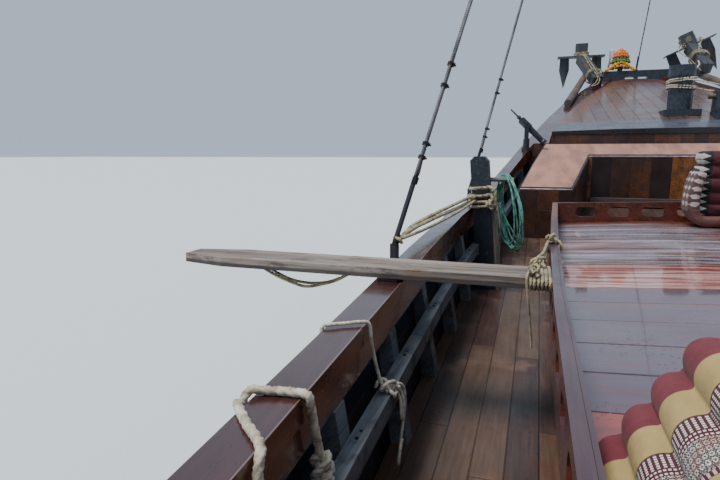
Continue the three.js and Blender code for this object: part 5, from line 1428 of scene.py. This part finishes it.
MIZZEN_X = -9.0
mizzen_stays = []
for s in (-1, 1):
    for x in (-9.9, -8.3):
        mizzen_stays.append([(x, s * 1.86, 4.27), (MIZZEN_X, s * 0.07, 8.9)])
mizzen_stays.append([(-5.95, 0, 4.27), (-8.94, 0, 8.95)])
tube("mizzen_stays", mizzen_stays, 0.008, wire_finish)
shape = bmesh.new()
for z in (4.6, 6.6, 8.85, 9.3):
    r = spar_radius(z - 3.43, 0.115, 0.06, 6.07) + 0.006
    rod(shape, (MIZZEN_X, 0, z), (MIZZEN_X, 0, z + 0.06), r, sides=20)
for foot, head in mizzen_stays:
    way = (Vector(head) - Vector(foot)).normalized()
    rod(shape, foot, Vector(foot) + way * 0.28, 0.018, sides=10)
finished("mizzen_bands", shape, iron)


# Wedge cushion. Ten stuffed cotton tubes are sewn together in a triangle. Their ends are gathered
# maroon cloth, then come a plain gold band, a woven band of maroon and white, and a brocade.
def even_out(made, voxel):
    """Merges a soft piece into one skin with faces of about one size."""
    even = made.modifiers.new("even", "REMESH")
    even.mode = "VOXEL"
    even.voxel_size = voxel
    bpy.context.view_layer.update()
    mesh = bpy.data.meshes.new_from_object(made.evaluated_get(bpy.context.evaluated_depsgraph_get()))
    made.modifiers.clear()
    made.data = mesh
    shape = bmesh.new()
    shape.from_mesh(mesh)
    for _ in range(3):
        bmesh.ops.smooth_vert(
            shape, verts=shape.verts, factor=0.5, use_axis_x=True, use_axis_y=True, use_axis_z=True,
        )
    shape.to_mesh(mesh)
    shape.free()
    mesh.shade_smooth()


def inflate(made, furthest):
    """Swells a soft piece as cloth under pressure; no point moves further than `furthest`."""
    frames_run = 20
    start = [vert.co.copy() for vert in made.data.vertices]
    cloth = made.modifiers.new("cloth", "CLOTH")
    cloth.settings.quality = 5
    cloth.settings.mass = 0.3
    cloth.settings.tension_stiffness = 12
    cloth.settings.compression_stiffness = 12
    cloth.settings.bending_stiffness = 0.6
    cloth.settings.use_pressure = True
    cloth.settings.uniform_pressure_force = 4
    cloth.settings.effector_weights.gravity = 0
    cloth.collision_settings.use_collision = False
    cloth.point_cache.frame_start = 1
    cloth.point_cache.frame_end = frames_run
    for step in range(1, frames_run + 1):
        bpy.context.scene.frame_set(step)
    swollen = made.evaluated_get(bpy.context.evaluated_depsgraph_get()).data
    ends = [vert.co.copy() for vert in swollen.vertices]
    made.modifiers.clear()
    for vert, before, after in zip(made.data.vertices, start, ends):
        moved = after - before
        if moved.length > furthest:
            moved = moved.normalized() * furthest
        vert.co = before + moved
    bpy.context.scene.frame_set(1)


def subdivide(made):
    finer = made.modifiers.new("finer", "SUBSURF")
    finer.levels = finer.render_levels = 1


def wave(value, length):
    """A sine wave of that length along a value."""
    return calc("SINE", times(value, math.tau / length))


def lie_of(place):
    """The piece's own run and turn, which are kept with its points."""
    return axes(add(place, "Attribute", attribute_name="lie").outputs["Vector"])


cushion_cloth, surface, place = new_finish("cushion_cloth", Roughness=0.85, Sheen_Weight=0.05)
lie = lie_of(place)
from_end, around = lie["X"], lie["Y"]
soft_tone = mottle(place, 26, 4)
maroon = tint(soft_tone, "7c323b", "571c27")
gold = tint(soft_tone, "b89f68", "94804f")
colour = tint(mask_between(from_end, 0.165, 0.27), maroon, gold)
warp = wave(around, 0.0125)
stripes = spread(warp, -0.25, 0.25)
rungs = spread(wave(from_end, 0.0075), -0.75, -0.2)
colour = tint(mask_between(from_end, 0.27, 0.6), colour, "481620")
dashes = times(times(stripes, rungs), mask_between(from_end, 0.274, 0.318))
colour = tint(dashes, colour, "e2dad2")
for line in (0.326, 0.338):
    stitch = spread(wave(around, 0.009), -0.5, -0.1)
    stitch = times(stitch, mask_between(from_end, line - 0.0026, line + 0.0026))
    colour = tint(stitch, colour, "dcd2ca")
wobble = times(mottle(place, 60, 2), 0.008)
across_thread = wave(plus(around, wobble), 0.026)
along_thread = wave(plus(from_end, wobble), 0.034)
lozenge = times(across_thread, along_thread)
hollow = calc("COMPARE", calc("ABSOLUTE", lozenge), 0.62, 0.2)
fine_thread = wave(around, 0.0052)
fine_pick = wave(from_end, 0.0085)
speckle = times(times(fine_thread, fine_pick), 0.75)
figure = spread(plus(hollow, speckle), 0.1, 0.9)
pinker = spread(mottle(place, 34, 4), 0.42, 0.6)
light_thread = tint(pinker, "d6cfca", "c4a8a2")
dark_thread = tint(pinker, "453f3e", "5a3c3a")
brocade = tint(figure, dark_thread, light_thread)
middle = mask_between(from_end, 0.344, 0.6)
colour = tint(middle, colour, brocade)
look_like(surface, Base_Color=colour)
pleats = wave(around, 0.016)
gather = times(pleats, spread(from_end, 0.0, 0.07, 0.0022, 0))
crumple = times(mottle(place, 24, 4), 0.004)
woven = times(plus(times(figure, middle), dashes), 0.0007)
roughen(surface, plus(plus(gather, crumple), woven))

CUSHION_AFT, CUSHION_FORE, CUSHION_Y = -1.19, -0.685, 1.665
ROWS, ACROSS, UP = 4, 0.105, 0.0795
TAPER = 0.085  # length of each tube's gathered end
cushion_middle = (CUSHION_AFT + CUSHION_FORE) / 2
cushion_half = (CUSHION_FORE - CUSHION_AFT) / 2 - 0.006
tube_places = []


def nearest_tube(at):
    """Middle of the tube, in Y and Z, that a point belongs to."""
    return min(tube_places, key=lambda tube: (tube[0] - at.y) ** 2 + (tube[1] - at.z) ** 2)


shape = bmesh.new()
for row in range(ROWS):
    for j in range(ROWS - row):
        y = CUSHION_Y + (j - (ROWS - row - 1) / 2) * ACROSS
        z = lounge_top(-0.9, y) + 0.0555 + row * UP
        tube_places.append((y, z))
        ends = [(cushion_middle + t * cushion_half, y, z) for t in (-1, 1)]
        rod(shape, *ends, 0.053, sides=24)
cut_across(shape, 0, 0.3, 40)
for vert in shape.verts:
    y, z = nearest_tube(vert.co)
    past = max(0.0, abs(vert.co.x - cushion_middle) - (cushion_half - TAPER)) / TAPER
    keep = max(0.0, 1 - past ** 1.8) ** 0.6 * 0.92 + 0.08
    vert.co.y = y + (vert.co.y - y) * keep
    vert.co.z = z + (vert.co.z - z) * keep
cushion = finished("wedge_cushion_tubes", shape, cushion_cloth, smooth=True)
even_out(cushion, 0.005)
inflate(cushion, 0.005)
heart = (CUSHION_Y, sum(z for y, z in tube_places) / len(tube_places))
lie = cushion.data.attributes.new("lie", "FLOAT_VECTOR", "POINT")
for vert, held in zip(cushion.data.vertices, lie.data):
    y, z = nearest_tube(vert.co)
    out = math.atan2(z - heart[1], y - heart[0])
    angle = (math.atan2(vert.co.z - z, vert.co.y - y) - out + math.pi) % math.tau - math.pi
    from_aft = vert.co.x - cushion_middle + cushion_half
    run = 2 * cushion_half - from_aft if from_aft > 0.07 else 5 * from_aft
    held.vector = (max(0.0, run), angle * 0.062, 0)
    vert.co.z = max(vert.co.z, lounge_top(vert.co.x, vert.co.y) + 0.001)
subdivide(cushion)
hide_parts("wedge_cushion")


# Folded mattress. Maroon quilted panels are folded in a stack, with a border of white triangles
# on black at their end; the outer panel curls down under them in striped cloth.
mattress_cloth, surface, place = new_finish("mattress_cloth", Roughness=0.85, Sheen_Weight=0.08)
parts = axes(place)
colour = tint(mottle(scaled(place, 6, 3, 12), 3, 5), "5e1f2b", "300d15")
teeth = calc("PINGPONG", calc("DIVIDE", parts["Z"], 0.054), 0.5)
rim = mask_between(parts["Y"], 0.655, 0.86, 0.002)
colour = tint(rim, colour, "17171c")
edge = minus(parts["Y"], times(teeth, 0.13))
white = times(spread(edge, 0.672, 0.676), mask_between(parts["Y"], 0.675, 0.738, 0.002))
colour = tint(white, colour, "b9b3ab")
look_like(surface, Base_Color=colour)
height = plus(times(cloth_weave(place, 300), 0.0002), times(mottle(place, 12, 4), 0.012))
roughen(surface, height)

shape = bmesh.new()
LAYERS, LAYER_STEP, LAYER_HEIGHT = 5, 0.108, 0.096
for i in range(LAYERS):
    low = 1.985 + LAYER_STEP * i
    block(shape, (3.14 + 0.012 * (i % 2), 0.34, low), (3.405, 0.765 - 0.006 * i, low + LAYER_HEIGHT), 0.03)
stack = finished("folded_mattress_stack", shape, mattress_cloth, smooth=True)
even_out(stack, 0.009)
inflate(stack, 0.012)
subdivide(stack)

striped_cloth, surface, place = new_finish("striped_cloth", Roughness=0.85, Sheen_Weight=0.08)
run = lie_of(place)["X"]
parts = axes(place)
colour = tint(mottle(place, 16, 5), "6b4644", "3c2426")
bands = calc("PINGPONG", run, 0.031)
depth_teeth = times(calc("PINGPONG", minus(parts["X"], 3.07), 0.05), 0.5)
pale = spread(minus(bands, depth_teeth), 0.006, 0.009)
pale = times(pale, spread(run, 0.3, 0.34, 1, 0))
colour = tint(pale, colour, "b5aaa4")
rosy = spread(run, 0.32, 0.4)
colour = tint(times(rosy, 0.8), colour, tint(mottle(place, 20, 4), "7d4a44", "4a2a2b"))
look_like(surface, Base_Color=colour)
roughen(surface, mottle(place, 14, 4), 0.012)

CURL = [
    (0.722, 2.36), (0.755, 2.26), (0.772, 2.16), (0.775, 2.07), (0.76, 1.995), (0.728, 1.953), (0.67, 1.944),
    (0.6, 1.945), (0.48, 1.948), (0.36, 1.95),
]
curl_line = smooth_line([(0, y, z) for y, z in CURL], 0.01)
curl_length = length_of(curl_line)
shape = bmesh.new()
block(shape, (3.075, 0, -0.036), (3.39, curl_length, 0.036), 0.022)
cut_across(shape, 1, 0.3, 60)
for vert in shape.verts:
    run = min(max(vert.co.y, 0.0), curl_length - 0.001)
    steps = run / curl_length * (len(curl_line) - 1)
    i = min(int(steps), len(curl_line) - 2)
    start, end = curl_line[i], curl_line[i + 1]
    way = (end - start).normalized()
    at = start + (end - start) * (steps - i)
    out = Vector((0, -way.z, way.y)) * vert.co.z
    vert.co = (vert.co.x, at.y + out.y, at.z + out.z)
curl = finished("folded_mattress_curl", shape, striped_cloth, smooth=True)
even_out(curl, 0.009)
inflate(curl, 0.008)
lie = curl.data.attributes.new("lie", "FLOAT_VECTOR", "POINT")
for vert, held in zip(curl.data.vertices, lie.data):
    near = min(
        range(len(curl_line)),
        key=lambda i: (curl_line[i].y - vert.co.y) ** 2 + (curl_line[i].z - vert.co.z) ** 2,
    )
    held.vector = (curl_length * near / (len(curl_line) - 1), 0, 0)
    vert.co.z = max(vert.co.z, lounge_top(min(vert.co.x, 3.49), vert.co.y) + 0.001)
subdivide(curl)
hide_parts("folded_mattress")
